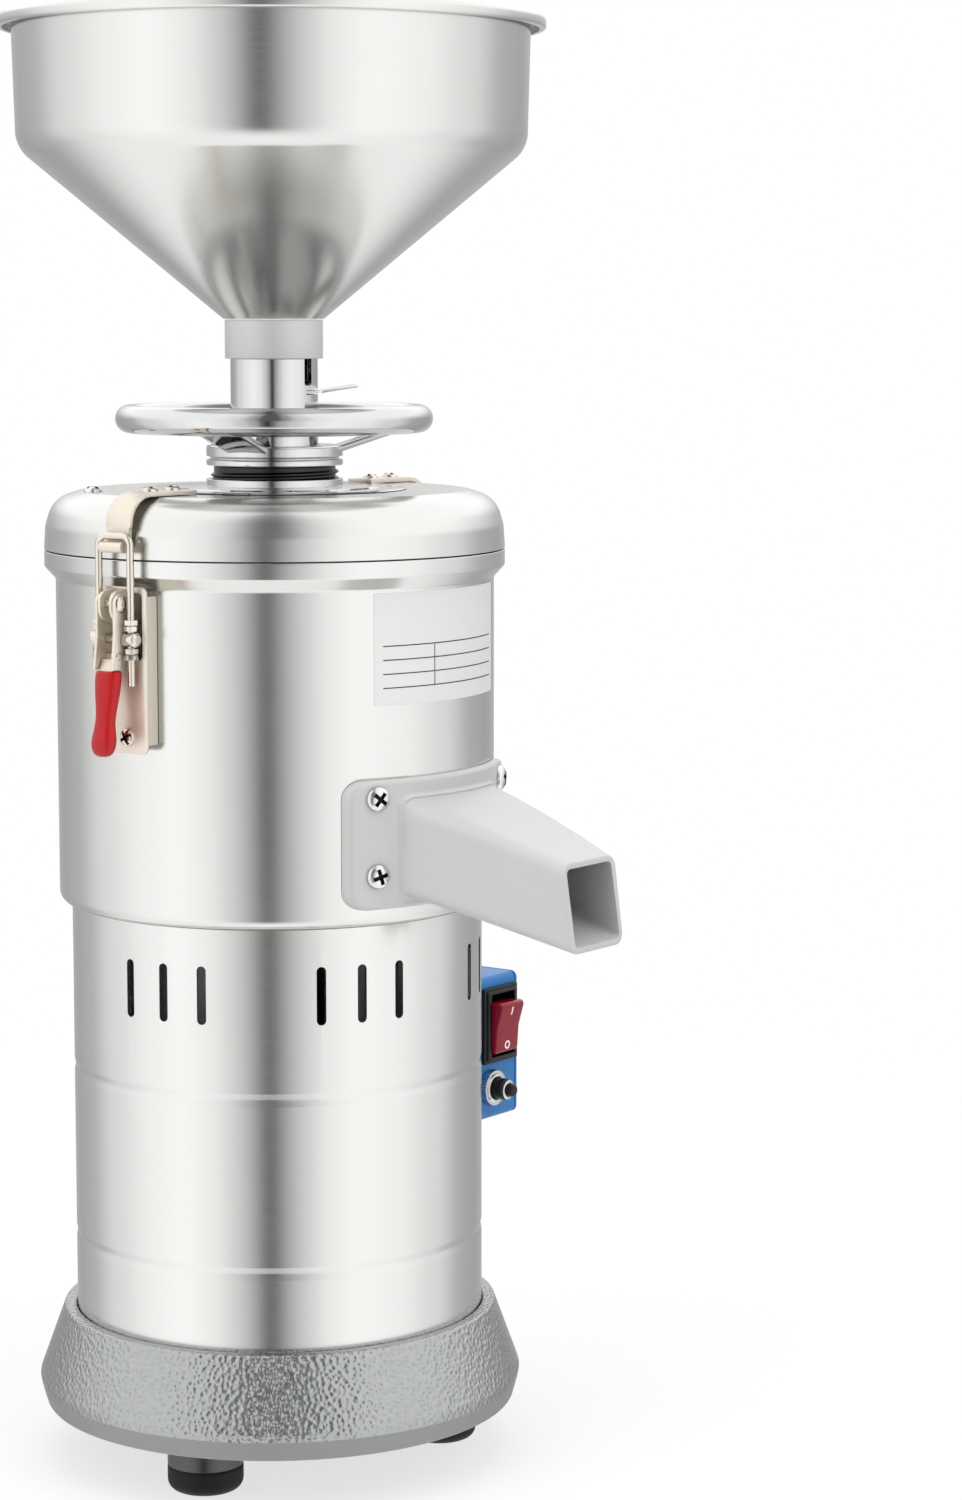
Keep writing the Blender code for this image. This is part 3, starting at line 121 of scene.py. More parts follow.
def add_node(tree: NodeTree, kind: str, settings: dict | None = None, links: dict | None = None) -> Node:
    """Adds a shader node with its settings and its incoming links.

    Args:
        tree: the node tree that gets the node.
        kind: the node's type without its ShaderNode prefix, such as "Bump".
        settings: attributes by name, and socket values by socket name or index.
        links: by the name or index of an input socket, the output socket that feeds it or the node
            whose first output does.

    Returns:
        The new node.
    """
    node = tree.nodes.new("ShaderNode" + kind)
    for key, value in (settings or {}).items():
        if isinstance(key, str) and hasattr(node, key):
            setattr(node, key, value)
        else:
            node.inputs[key].default_value = value
    for key, source in (links or {}).items():
        output = source.outputs[0] if isinstance(source, Node) else source
        tree.links.new(output, node.inputs[key])
    return node


@dataclass(frozen=True)
class Grain:
    """One layer of a surface's unevenness.

    size is the distance between its features in millimetres, and stretch draws them out along X,
    Y or Z. The other numbers say how much it changes the roughness, the brightness and, in
    millimetres, the height of the surface.
    """

    size: float
    pattern: Pattern = Pattern.GRAIN
    stretch: Point = (1.0, 1.0, 1.0)
    roughness: float = 0.0
    tint: float = 0.0
    relief: float = 0.0
    detail: float = 2.0

    def height(self, tree: NodeTree) -> NodeSocket:
        """Adds the layer's texture.

        Args:
            tree: the material's node tree.

        Returns:
            The socket of its value, which is round 0.5.
        """
        place = add_node(tree, "TexCoord").outputs["Object"]
        if self.pattern is Pattern.TURNED:
            axes = add_node(tree, "SeparateXYZ", links={0: place}).outputs
            flat = add_node(tree, "CombineXYZ", links={0: axes["X"], 1: axes["Y"]})
            length = add_node(tree, "VectorMath", {"operation": "LENGTH"}, {0: flat}).outputs["Value"]
            slow = add_node(tree, "Math", {"operation": "MULTIPLY", 1: RING_DRIFT}, {0: axes["X"]})
            place = add_node(tree, "CombineXYZ", links={0: length, 1: slow, 2: axes["Z"]})
        drawn = [1 / each for each in self.stretch]
        place = add_node(tree, "Mapping", {"Scale": drawn}, {"Vector": place})
        scale = 1 / (self.size * MM)
        if self.pattern is Pattern.CELLS:
            settings = {"feature": "SMOOTH_F1", "Scale": scale, "Smoothness": 0.6, "Randomness": 0.9}
            return add_node(tree, "TexVoronoi", settings, {"Vector": place}).outputs["Distance"]
        noise = add_node(tree, "TexNoise", {"Scale": scale, "Detail": self.detail}, {"Vector": place})
        return noise.outputs["Fac"]


@dataclass(frozen=True)
class Finish:
    """A real material with the way its surface was made, as one procedural material.

    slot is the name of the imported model's material that it stands for, and sockets gives more
    of the shader's sockets by name.
    """

    name: str
    slot: str
    colour: str
    metallic: float
    roughness: float
    grains: tuple[Grain, ...] = ()
    sockets: tuple[tuple[str, float], ...] = ()

    def material(self) -> Material:
        """Makes the finish's material the first time it is asked for.

        Returns:
            The material.
        """
        known = bpy.data.materials.get(self.name)
        if known is not None:
            return known
        made = bpy.data.materials.new(self.name)
        made.use_nodes = True
        tree = made.node_tree
        shader = tree.nodes["Principled BSDF"]
        shader.inputs["Base Color"].default_value = linear(self.colour)
        shader.inputs["Metallic"].default_value = self.metallic
        shader.inputs["Roughness"].default_value = self.roughness
        for socket, value in self.sockets:
            shader.inputs[socket].default_value = value
        self.weather(tree, shader)
        made.diffuse_color = linear(self.colour)
        return made

    def weather(self, tree: NodeTree, shader: Node) -> None:
        """Lays the grains over one another in the shader's roughness, colour and normal.

        Args:
            tree: the material's node tree.
            shader: its shader.
        """
        roughness = colour = normal = None
        for grain in self.grains:
            height = grain.height(tree)
            if grain.roughness:
                rest = 0.0 if roughness else self.roughness
                settings = {
                    "operation": "MULTIPLY_ADD", 1: 2 * grain.roughness, 2: rest - grain.roughness
                }
                layer = add_node(tree, "Math", settings, {0: height})
                if roughness:
                    layer = add_node(tree, "Math", {"operation": "ADD"}, {0: layer, 1: roughness})
                roughness = layer
            if grain.tint:
                settings = {"operation": "MULTIPLY_ADD", 1: 2 * grain.tint, 2: 1 - grain.tint}
                links = {"Value": add_node(tree, "Math", settings, {0: height})}
                if colour:
                    links["Color"] = colour
                colour = add_node(tree, "HueSaturation", {"Color": linear(self.colour)}, links)
            if grain.relief:
                links = {"Height": height}
                if normal:
                    links["Normal"] = normal
                normal = add_node(tree, "Bump", {"Strength": 1.0, "Distance": grain.relief * MM}, links)
        for socket, source in (("Roughness", roughness), ("Base Color", colour), ("Normal", normal)):
            if source:
                tree.links.new(source.outputs[0], shader.inputs[socket])


# Stainless sheet, spun and polished round the axis: smooth bands of reflection, hardly a line
SPUN_STAINLESS = Finish(
    "spun_stainless_sheet", "stainless", "d0d0ce", 1.0, 0.21,
    (
        Grain(0.5, Pattern.TURNED, roughness=0.03, relief=0.0003, detail=1.0),
        Grain(60.0, roughness=0.02, tint=0.012),
    ),
)
# The same sheet, sandblasted dull on the collar that was welded to the hopper
DULL_STAINLESS = Finish(
    "blasted_stainless_collar", "stainless", "d2d2d0", 0.35, 0.5,
    (Grain(0.5, roughness=0.05, relief=0.004), Grain(14.0, tint=0.02)),
)
# Steel plated with bright chrome: mirror-like, with the slight waviness of hand polishing
BRIGHT_CHROME = Finish(
    "polished_chrome_plate", "polished_chrome", "c6c6c6", 1.0, 0.07,
    (Grain(22.0, relief=0.02, roughness=0.02), Grain(0.6, Pattern.TURNED, roughness=0.02)),
)
# Cast iron in silver hammer-effect paint: shallow cells with soft rims that glitter in the light
HAMMER_PAINT = Finish(
    "hammer_effect_paint", "hammer_paint", "9fa1a1", 0.95, 0.21,
    (
        Grain(2.1, Pattern.CELLS, relief=0.64, tint=0.05, roughness=0.05),
        Grain(0.8, relief=0.1, detail=3.0), Grain(40.0, tint=0.03),
    ),
    (("Coat Weight", 0.12), ("Coat Roughness", 0.15)),
)
# The same paint, plain and darker on the lower edge: painted shade, an even grey band without the glitter
SHADED_SMOOTH_PAINT = Finish(
    "smooth_paint_painted_shade_band", "hammer_paint", "8e8f8f", 0.35, 0.45,
    (Grain(6.0, relief=0.05, tint=0.03, roughness=0.05), Grain(40.0, tint=0.03)),
)
# Aluminium casting, tumbled to an even satin: fine grit with cloudy patches
SATIN_CASTING = Finish(
    "satin_cast_aluminium", "cast_aluminium", "c1c2c0", 0.12, 0.42,
    (Grain(0.8, relief=0.02, roughness=0.05, detail=3.0), Grain(18.0, tint=0.025, roughness=0.04)),
)
# Oiled steel, cut on a lathe: fine grooves round the axis
TURNED_DARK_STEEL = Finish(
    "oiled_turned_steel", "dark_steel", "3a3a3d", 1.0, 0.3,
    (Grain(0.4, Pattern.TURNED, roughness=0.08, relief=0.004, detail=1.0),),
)
# Hardened steel, ground flat: straight grinding marks and a trace of wear
GROUND_TOOL_STEEL = Finish(
    "ground_tool_steel", "tool_steel", "a4a4a5", 1.0, 0.3,
    (Grain(0.5, stretch=(30, 1, 1), roughness=0.08, relief=0.002), Grain(9.0, tint=0.05)),
)
# Drawn steel wire and turned pins with zinc plate: a warm grey with clear dark reflections
BRIGHT_ZINC = Finish(
    "bright_zinc_plate", "zinc_plate", "d2ccc0", 1.0, 0.19,
    (
        Grain(0.35, stretch=(1, 1, 20), roughness=0.05, relief=0.0008),
        Grain(7.0, tint=0.04, roughness=0.03),
    ),
)
# Strip steel, pressed and barrel-plated: the same warm grey, satin from the barrel
SATIN_ZINC = Finish(
    "satin_zinc_strip", "zinc_plate", "dbd2c4", 0.6, 0.36,
    (
        Grain(0.35, stretch=(1, 1, 20), roughness=0.05, relief=0.0008),
        Grain(9.0, tint=0.04, roughness=0.04),
    ),
)
# Stainless screws, barrel-polished: neutral and bright, with fine scratches
BRIGHT_SCREW = Finish(
    "tumbled_stainless_screw", "zinc_plate", "d2d2d1", 1.0, 0.2,
    (Grain(0.4, roughness=0.08, relief=0.001), Grain(5.0, tint=0.04)),
)
# The inside of a screw's recess, darkened: old grease and oxide, and painted shade where the light
# doesn't reach
DARK_RECESS = Finish(
    "greasy_screw_recess", "zinc_plate", "171718", 0.2, 0.7, (Grain(0.6, tint=0.2, roughness=0.1),)
)
# Thin iron sheets stacked and varnished: the edges of the sheets show as lines
STACKED_IRON = Finish(
    "varnished_iron_stack", "laminated_iron", "4a4a50", 0.9, 0.5,
    (Grain(0.8, stretch=(60, 60, 1), tint=0.3, relief=0.05), Grain(6.0, tint=0.08)),
)
# Enamelled copper wire, wound in rings and dipped in varnish
VARNISHED_COPPER = Finish(
    "varnished_copper_winding", "copper_wire", "b4683a", 0.9, 0.32,
    (Grain(1.1, Pattern.TURNED, tint=0.25, relief=0.12), Grain(4.0, tint=0.1)), (("Coat Weight", 0.4),),
)
# Moulded rubber: matt, with a fine mould grain and a dusting of grey
MOULDED_RUBBER = Finish(
    "moulded_black_rubber", "black_rubber", "0c0c0d", 0.0, 0.6,
    (Grain(0.6, relief=0.03, roughness=0.06), Grain(8.0, tint=0.25, roughness=0.08)),
    (("Specular IOR Level", 0.25),),
)
# The foot's upper band, where the mould was polished: glossier, and lighter in colour as a painted sheen
POLISHED_SHEEN_RUBBER = Finish(
    "polished_black_rubber", "black_rubber", "1c1c1d", 0.0, 0.26,
    (Grain(9.0, tint=0.15, roughness=0.05),), (("Specular IOR Level", 0.9),),
)
# Silicone ring, pressed and slightly see-through
PRESSED_SILICONE = Finish(
    "pressed_silicone", "silicone", "dcdad2", 0.0, 0.5,
    (Grain(1.0, relief=0.01, roughness=0.05), Grain(12.0, tint=0.03)),
    (("Subsurface Weight", 0.2), ("Subsurface Scale", 0.002)),
)
# Powder coat on folded steel: orange peel with a soft gloss
BLUE_POWDER_COAT = Finish(
    "blue_powder_coat", "blue_paint", "1a6fb1", 0.0, 0.36,
    (Grain(1.6, relief=0.035, roughness=0.04, detail=1.0), Grain(30.0, tint=0.03)),
    (("Specular IOR Level", 0.35), ("Coat Weight", 0.1), ("Coat Roughness", 0.15)),
)
# ABS moulding with a fine spark-eroded texture
BLACK_ABS = Finish(
    "moulded_black_abs", "black_plastic", "161718", 0.0, 0.36,
    (Grain(0.5, relief=0.01, roughness=0.06), Grain(10.0, tint=0.1)), (("Specular IOR Level", 0.25),),
)
# Clear red polycarbonate over a dark inside: deep colour under a glossy skin
CLEAR_RED = Finish(
    "clear_red_polycarbonate", "red_rocker", "8a0e24", 0.0, 0.16,
    (Grain(14.0, tint=0.3), Grain(2.0, roughness=0.03)),
    (("Specular IOR Level", 0.25), ("Coat Weight", 0.1), ("Coat Roughness", 0.06)),
)
# White ink, printed in the rocker's moulded signs
WHITE_INK = Finish(
    "white_printing_ink", "red_rocker", "f2f0ee", 0.0, 0.45, (Grain(1.0, tint=0.03, roughness=0.04),)
)
# PVC, dipped hot on the lever: thick and glossy, with slow ripples
DIPPED_VINYL = Finish(
    "dipped_red_vinyl", "red_vinyl", "b30b13", 0.0, 0.3,
    (Grain(6.0, relief=0.12, roughness=0.05, detail=1.0), Grain(0.7, relief=0.006, tint=0.02)),
    (("Specular IOR Level", 0.3), ("Coat Weight", 0.15), ("Coat Roughness", 0.1)),
)
# Moulded grey polypropylene can
GREY_CAN = Finish(
    "moulded_grey_can", "grey_plastic", "8d9092", 0.0, 0.45,
    (Grain(0.7, relief=0.01, roughness=0.05), Grain(15.0, tint=0.04)),
)
# Silvered polyester film with a satin face, and the ink of its ruled lines
LABEL_FILM = Finish(
    "satin_polyester_film", "stainless", "dededd", 0.15, 0.42,
    (Grain(0.9, roughness=0.05, relief=0.002), Grain(30.0, tint=0.015)),
)
LABEL_INK = Finish(
    "black_screen_ink", "stainless", "2a2a2c", 0.0, 0.4, (Grain(0.6, roughness=0.05, tint=0.1),)
)


def bevelled(bm: BMesh, geom: list, width: float, segments: int, affect: str = "EDGES") -> BMesh:
    """Rounds edges or vertices.

    Args:
        bm: the shape that they belong to.
        geom: the edges or vertices.
        width: how far in the rounding starts, in millimetres.
        segments: how many straight pieces the rounding gets.
        affect: "EDGES" or "VERTICES".

    Returns:
        The shape.
    """
    bmesh.ops.bevel(
        bm, geom=geom, offset=width * MM, offset_type="OFFSET", segments=segments, profile=0.5,
        affect=affect, material=-1, clamp_overlap=True,
    )
    return bm


def wire_outline(corners: Sequence[Corner], closed: bool = True, segments: int = 5) -> BMesh:
    """Joins corners in the XZ plane and rounds those that ask for it.

    Args:
        corners: (x, z) or (x, z, rounding radius) in millimetres.
        closed: whether the last corner is joined to the first.
        segments: how many straight pieces each rounding gets.

    Returns:
        A bmesh that holds the outline as a wire.
    """
    bm = bmesh.new()
    verts = [bm.verts.new((c[0] * MM, 0, c[1] * MM)) for c in corners]
    pairs = list(zip(verts, verts[1:])) + ([(verts[-1], verts[0])] if closed else [])
    for pair in pairs:
        bm.edges.new(pair)
    for index, (vert, corner) in enumerate(zip(verts, corners)):
        ends = not closed and index in (0, len(corners) - 1)
        if len(corner) > 2 and corner[2] and not ends:
            around = [Vector(corners[(index + step) % len(corners)][:2]) for step in (-1, 0, 1)]
            bend = (around[1] - around[0]).angle(around[2] - around[1])
            bevelled(bm, [vert], corner[2] * math.tan(bend / 2), segments, "VERTICES")
    return bm


def weld(bm: BMesh) -> BMesh:
    """Merges doubled points and turns the faces outwards.

    Args:
        bm: the shape.

    Returns:
        The shape.
    """
    bmesh.ops.remove_doubles(bm, verts=bm.verts, dist=SAME_POINT)
    bmesh.ops.recalc_face_normals(bm, faces=bm.faces)
    return bm


def spun(bm: BMesh, geom: list, steps: int, turns: int = 1, rise: float = 0.0) -> BMesh:
    """Spins geometry about Z and welds what comes of it.

    Args:
        bm: the shape that it belongs to.
        geom: the wire or the face that is spun.
        steps: the number of steps altogether.
        turns: the number of full turns.
        rise: how far a step climbs, in millimetres. A spin that doesn't climb closes on itself.

    Returns:
        The shape.
    """
    bmesh.ops.spin(
        bm, geom=geom, cent=(0, 0, 0), axis=(0, 0, 1), dvec=(0, 0, rise * MM), angle=2 * math.pi * turns,
        steps=steps, use_merge=not rise,
    )
    return weld(bm)


def lathe(
    corners: Sequence[Corner], facets: Facets = Facets.BODY, closed: bool = True, segments: int = 5
) -> BMesh:
    """Turns an outline about Z.

    Args:
        corners: (radius, height) or (radius, height, rounding radius) in millimetres.
        facets: how many facets the turn gets.
        closed: whether the outline is closed, or ends on the axis at both ends.
        segments: how many straight pieces each rounding gets.

    Returns:
        The turned shape.
    """
    bm = wire_outline(corners, closed, segments)
    return spun(bm, bm.verts[:] + bm.edges[:], facets.value)


def wound(tooth: Sequence[Corner], start: float, pitch: float, turns: int, steps: int) -> BMesh:
    """Winds a thread round Z.

    Args:
        tooth: the (radius, height) corners of its section, with heights round its start.
        start: the height at which it starts, in millimetres.
        pitch: how far it climbs in a turn.
        turns: the number of turns.
        steps: the number of steps in a turn.

    Returns:
        The thread, which is closed at both ends.
    """
    bm = wire_outline(tooth)
    bmesh.ops.translate(bm, vec=(0, 0, start * MM), verts=bm.verts)
    end = bmesh.ops.edgeloop_fill(bm, edges=bm.edges)["faces"]
    return spun(bm, end, steps * turns, turns, pitch / steps)


def extruded(bm: BMesh, faces: list, way: Sequence[float]) -> BMesh:
    """Draws faces out into a solid, and keeps the faces where they started.

    Args:
        bm: the shape that they belong to.
        faces: the faces.
        way: how far and which way they are drawn, in metres.

    Returns:
        The shape.
    """
    grown = bmesh.ops.extrude_face_region(bm, geom=faces)["geom"]
    bmesh.ops.translate(bm, vec=way, verts=[item for item in grown if isinstance(item, BMVert)])
    return bm


def slab(corners: Sequence[Corner], low: float, high: float, rounded: float = 0.0) -> BMesh:
    """Gives a flat outline a thickness along Y.

    Args:
        corners: (x, z) or (x, z, rounding radius) in millimetres.
        low: the Y of one face.
        high: the Y of the other face.
        rounded: how far its rims are rounded.

    Returns:
        The slab.
    """
    bm = wire_outline(corners)
    face = bmesh.ops.edgeloop_fill(bm, edges=bm.edges)["faces"]
    bmesh.ops.translate(bm, vec=(0, low * MM, 0), verts=bm.verts)
    weld(extruded(bm, face, (0, (high - low) * MM, 0)))
    return soften(bm, rounded, segments=2) if rounded else bm


def soften(
    bm: BMesh, width: float, segments: int = 3, sharper: float = 40.0,
    chosen: Callable[[BMEdge], bool] = lambda edge: True,
) -> BMesh:
    """Rounds a shape's sharp edges.

    Args:
        bm: the shape.
        width: how far in the rounding starts, in millimetres.
        segments: how many straight pieces it gets.
        sharper: the angle in degrees past which an edge counts as sharp.
        chosen: tells which of the sharp edges are rounded.

    Returns:
        The shape.
    """
    edges = [
        edge
        for edge in bm.edges
        if len(edge.link_faces) == 2 and edge.calc_face_angle() > math.radians(sharper) and chosen(edge)
    ]
    return bevelled(bm, edges, width, segments)


def block(low: Point, high: Point, rounded: float = 0.0, segments: int = 3) -> BMesh:
    """Makes a box.

    Args:
        low: the corner with the lowest X, Y and Z, in millimetres.
        high: the opposite corner.
        rounded: how far its edges are rounded.
        segments: how many straight pieces the rounding gets.

    Returns:
        The box.
    """
    bm = bmesh.new()
    bmesh.ops.create_cube(bm, size=1)
    size = [last - first for first, last in zip(low, high)]
    middle = [(last + first) / 2 for first, last in zip(low, high)]
    bmesh.ops.scale(bm, vec=Vector(size) * MM, verts=bm.verts)
    bmesh.ops.translate(bm, vec=Vector(middle) * MM, verts=bm.verts)
    return soften(bm, rounded, segments) if rounded else bm


def runs_along_x(edge: BMEdge) -> bool:
    """Tells whether an edge runs along X, as the four long edges of the control box do."""
    return abs(edge.verts[0].co.x - edge.verts[1].co.x) > MM


def moved(bm: BMesh, *steps: Matrix) -> BMesh:
    """Moves a whole bmesh.

    Args:
        bm: the shape.
        steps: the matrices that move it, the first one first.

    Returns:
        The shape.
    """
    for step in steps:
        bmesh.ops.transform(bm, matrix=step, verts=bm.verts)
    return bm


def shift(x: float, y: float, z: float) -> Matrix:
    """A move in millimetres."""
    return Matrix.Translation(Vector((x, y, z)) * MM)


def turn(degrees: float, axis: str = "Z") -> Matrix:
    """A turn about an axis through the origin."""
    return Matrix.Rotation(math.radians(degrees), 4, axis)


def facing(angle: float) -> Matrix:
    """Turns a shape built out along +X to lie that many degrees round from the spout, towards +X."""
    return turn(angle - 90)


def joined(*parts: BMesh) -> BMesh:
    """Puts several shapes into one bmesh.

    Args:
        parts: the shapes. All but the first are freed.

    Returns:
        The first shape, which holds them all.
    """
    whole = parts[0]
    for part in parts[1:]:
        mesh = bpy.data.meshes.new("part")
        part.to_mesh(mesh)
        part.free()
        whole.from_mesh(mesh)
        bpy.data.meshes.remove(mesh)
    return whole


@dataclass(frozen=True)
class Section:
    """A rounded rectangle across Y: its half width, its height range, corner and place.

    The place is its Y at the lower edge and at the upper edge, so that it can lean.
    """

    half: float
    low: float
    high: float
    corner: float
    y_low: float
    y_high: float

    def towards(self, other: "Section", share: float) -> "Section":
        """Gives the section a share of the way from this one to another."""
        return Section(*(a + (b - a) * share for a, b in zip(astuple(self), astuple(other))))

    def grown(self, by: float, further: float = 0.0) -> "Section":
        """Grows the section.

        Args:
            by: how far it grows all round, in millimetres.
            further: how far it moves along -Y.

        Returns:
            The new section.
        """
        return Section(
            self.half + by, self.low - by, self.high + by, max(self.corner + by, 0.4),
            self.y_low - further, self.y_high - further,
        )

    def wire(self) -> BMesh:
        """Draws the section as a loop with the same number of points at every size.

        Returns:
            The loop.
        """
        half, low, high, corner = self.half, self.low, self.high, self.corner
        corners = [(-half, low, corner), (half, low, corner), (half, high, corner), (-half, high, corner)]
        bm = wire_outline(corners, closed=True, segments=6)
        straight = [edge for edge in bm.edges if edge.calc_length() > 2.2 * corner * MM * math.pi / 12]
        bmesh.ops.subdivide_edges(bm, edges=straight, cuts=11)
        lean = (self.y_high - self.y_low) / (high - low)
        shear = Matrix.Identity(4)
        shear[1][2] = lean
        place = Matrix.Translation((0, (self.y_low - lean * low) * MM, 0))
        bmesh.ops.transform(bm, matrix=place @ shear, verts=bm.verts)
        return bm


def loft(loops: Sequence[BMesh], closed: bool = False) -> BMesh:
    """Skins loops made alike, point to point.

    bridge_loops pairs the nearest points, which would twist a steep run such as the chute's.

    Args:
        loops: the loops in their order, which all have the same number of points.
        closed: whether the last loop meets the first. Otherwise both ends are capped.

    Returns:
        The skinned shape.
    """
    bm = bmesh.new()
    rows: list[list[BMVert]] = []
    for loop in loops:
        count = len(bm.verts)
        joined(bm, loop)
        bm.verts.ensure_lookup_table()
        rows.append(bm.verts[count:])
    bm.verts.index_update()
    around = len(rows[0])
    spans = [
        [vert.index % around for vert in edge.verts] for edge in bm.edges if edge.verts[0] in rows[0]
    ]
    if not closed:
        for row in (rows[0], rows[-1]):
            bmesh.ops.contextual_create(bm, geom=[edge for edge in bm.edges if edge.verts[0] in row])
    pairs = list(zip(rows, rows[1:])) + ([(rows[-1], rows[0])] if closed else [])
    for row, following in pairs:
        for first, second in spans:
            bm.faces.new((row[first], row[second], following[second], following[first]))
    return weld(bm)


def rod(start: Point, end: Point, radius: float, facets: Facets = Facets.SCREW) -> BMesh:
    """Makes a round bar.

    Args:
        start: the middle of one end, in millimetres.
        end: the middle of the other end.
        radius: the bar's radius.
        facets: how many facets it gets round.

    Returns:
        The bar.
    """
    run = Vector(end) - Vector(start)
    corners = [(0, 0), (radius, 0), (radius, run.length), (0, run.length)]
    lean = run.to_track_quat("Z", "Y").to_matrix().to_4x4()
    return moved(lathe(corners, facets, closed=False), lean, shift(*start))


def bent_wire(points: Sequence[Point], radius: float, facets: int) -> BMesh:
    """Sweeps a round section along points.

    Args:
        points: the points of the wire's middle line, in millimetres.
        radius: the wire's radius.
        facets: how many facets it gets round.

    Returns:
        The wire, with flat ends.
    """
    path = [Vector(point) * MM for point in points]
    bm = bmesh.new()
    heading = path[1] - path[0]
    ring = bmesh.ops.create_circle(bm, cap_ends=True, radius=radius * MM, segments=facets)["verts"]
    aim = heading.to_track_quat("Z", "Y").to_matrix().to_4x4()
    bmesh.ops.transform(bm, matrix=Matrix.Translation(path[0]) @ aim, verts=ring)
    face = list(bm.faces)
    for index, place in enumerate(path[1:], 1):
        grown = bmesh.ops.extrude_face_region(bm, geom=face)["geom"]
        if index > 1:
            bmesh.ops.delete(bm, geom=face, context="FACES_ONLY")
        verts = [item for item in grown if isinstance(item, BMVert)]
        face = [item for item in grown if isinstance(item, BMFace)]
        behind = place - path[index - 1]
        ahead = path[index + 1] - place if index < len(path) - 1 else behind
        mitre = behind.normalized() + ahead.normalized()
        spin = heading.rotation_difference(mitre).to_matrix()
        bmesh.ops.translate(bm, vec=behind, verts=verts)
        bmesh.ops.rotate(bm, cent=place, matrix=spin, verts=verts)
        heading = mitre
    return weld(bm)


def shade(mesh: Mesh, crease: float) -> None:
    """Shades a mesh smooth but for edges sharper than crease, in degrees."""
    mesh.shade_smooth()
    mesh.set_sharp_from_angle(angle=math.radians(crease))


def plain_object(bm: BMesh, name: str) -> Object:
    """Puts a bmesh into the scene as an object at the origin.

    Args:
        bm: the shape, which is freed.
        name: the object's name.

    Returns:
        The object.
    """
    mesh = bpy.data.meshes.new(name)
    bm.to_mesh(mesh)
    bm.free()
    made = bpy.data.objects.new(name, mesh)
    bpy.context.scene.collection.objects.link(made)
    return made


def pierced(solid: BMesh, *cutters: BMesh, joins: bool = False) -> BMesh:
    """Cuts a solid, or adds to it.

    Args:
        solid: the solid.
        cutters: the shapes that are taken away from it.
        joins: whether they are joined to it instead.

    Returns:
        The result. The shapes that went in are freed.
    """
    target = plain_object(solid, "solid")
    tools = [plain_object(cutter, "cutter") for cutter in cutters]
    for tool in tools:
        step = target.modifiers.new("cut", "BOOLEAN")
        step.operation = "UNION" if joins else "DIFFERENCE"
        step.object = tool
    bpy.context.view_layer.update()
    graph = bpy.context.evaluated_depsgraph_get()
    bm = bmesh.new()
    bm.from_mesh(target.evaluated_get(graph).to_mesh())
    for obj in (target, *tools):
        mesh = obj.data
        bpy.data.objects.remove(obj)
        bpy.data.meshes.remove(mesh)
    bmesh.ops.remove_doubles(bm, verts=bm.verts, dist=SAME_POINT)
    return bm


def piece(
    bm: BMesh, name: str, finish: Finish, body: Body | str, *nodes: str, crease: float = 32.0
) -> Object:
    """Makes a finished piece of the machine from a built shape.

    Args:
        bm: the shape, in its place.
        name: the piece's name.
        finish: what it is made of.
        body: the body that it rides on.
        nodes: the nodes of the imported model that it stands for.
        crease: the angle in degrees past which an edge stays sharp.

    Returns:
        The piece, riding on its body.
    """
    made = plain_object(bm, name)
    shade(made.data, crease)
    made.data.materials.append(finish.material())
    # Screws' recess faces get the dark material: grease and painted shade.
    if any(face.material_index for face in made.data.polygons):
        made.data.materials.append(DARK_RECESS.material())
    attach(made, body.value if isinstance(body, Body) else body)
    if nodes:
        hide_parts(*nodes)
    return made


def pan_head(radius: float, height: float) -> BMesh:
    """Makes a pan-head screw with a cross recess, head up and seated at the origin.

    Args:
        radius: the head's radius in millimetres.
        height: the head's height.

    Returns:
        The screw, whose recess has the second material: the dark one of grease and painted shade.
    """
    corners = [
        (0, height), (radius * 0.55, height * 0.97), (radius * 0.93, height * 0.55, radius * 0.3),
        (radius, 0), (radius * 0.5, 0), (radius * 0.5, -0.1), (0, -0.1),
    ]
    head = lathe(corners, Facets.SCREW, closed=False, segments=3)
    arm = radius * 0.62
    half = radius * 0.16
    cross = [
        block((-arm, -half, height * 0.15), (arm, half, height * 1.5)),
        block((-half, -arm, height * 0.15), (half, arm, height * 1.5)),
    ]
    screw = pierced(head, *cross)
    # The faces inside the cross recess get the dark material of grease and painted shade.
    for face in screw.faces:
        middle = face.calc_center_median() / MM
        inside = middle.xy.length < 0.7 * radius and 0.1 * height < middle.z < 0.8 * height
        face.material_index = int(inside)
    return screw


def banded(made: Object, finish: Finish, low: float, high: float) -> Object:
    """Gives a band of a piece a second finish.

    Args:
        made: the piece, which has one finish so far.
        finish: the second finish.
        low: the height in millimetres where the band starts.
        high: the height where it ends.

    Returns:
        The piece.
    """
    made.data.materials.append(finish.material())
    for face in made.data.polygons:
        face.material_index = int(low < face.center.z / MM < high)
    return made


def hexagon(radius: float, depth: float) -> BMesh:
    """Makes a six-sided prism about Z.

    Args:
        radius: its radius over the corners, in millimetres.
        depth: its height.

    Returns:
        The prism, with its middle at the origin.
    """
    bm = bmesh.new()
    bmesh.ops.create_cone(
        bm, cap_ends=True, segments=6, radius1=radius * MM, radius2=radius * MM, depth=depth * MM
    )
    return bm


def both_sides(near: float, far: float) -> tuple[tuple[float, float], tuple[float, float]]:
    """Gives the range between two distances on the -Y side, and the same on the +Y side."""
    return (-far, -near), (near, far)


@dataclass
class SubAssembly:
    """A group of pieces that are built and dressed together."""

    def build(self) -> list[Object]:
        """Builds the group's pieces and returns them."""
        raise NotImplementedError


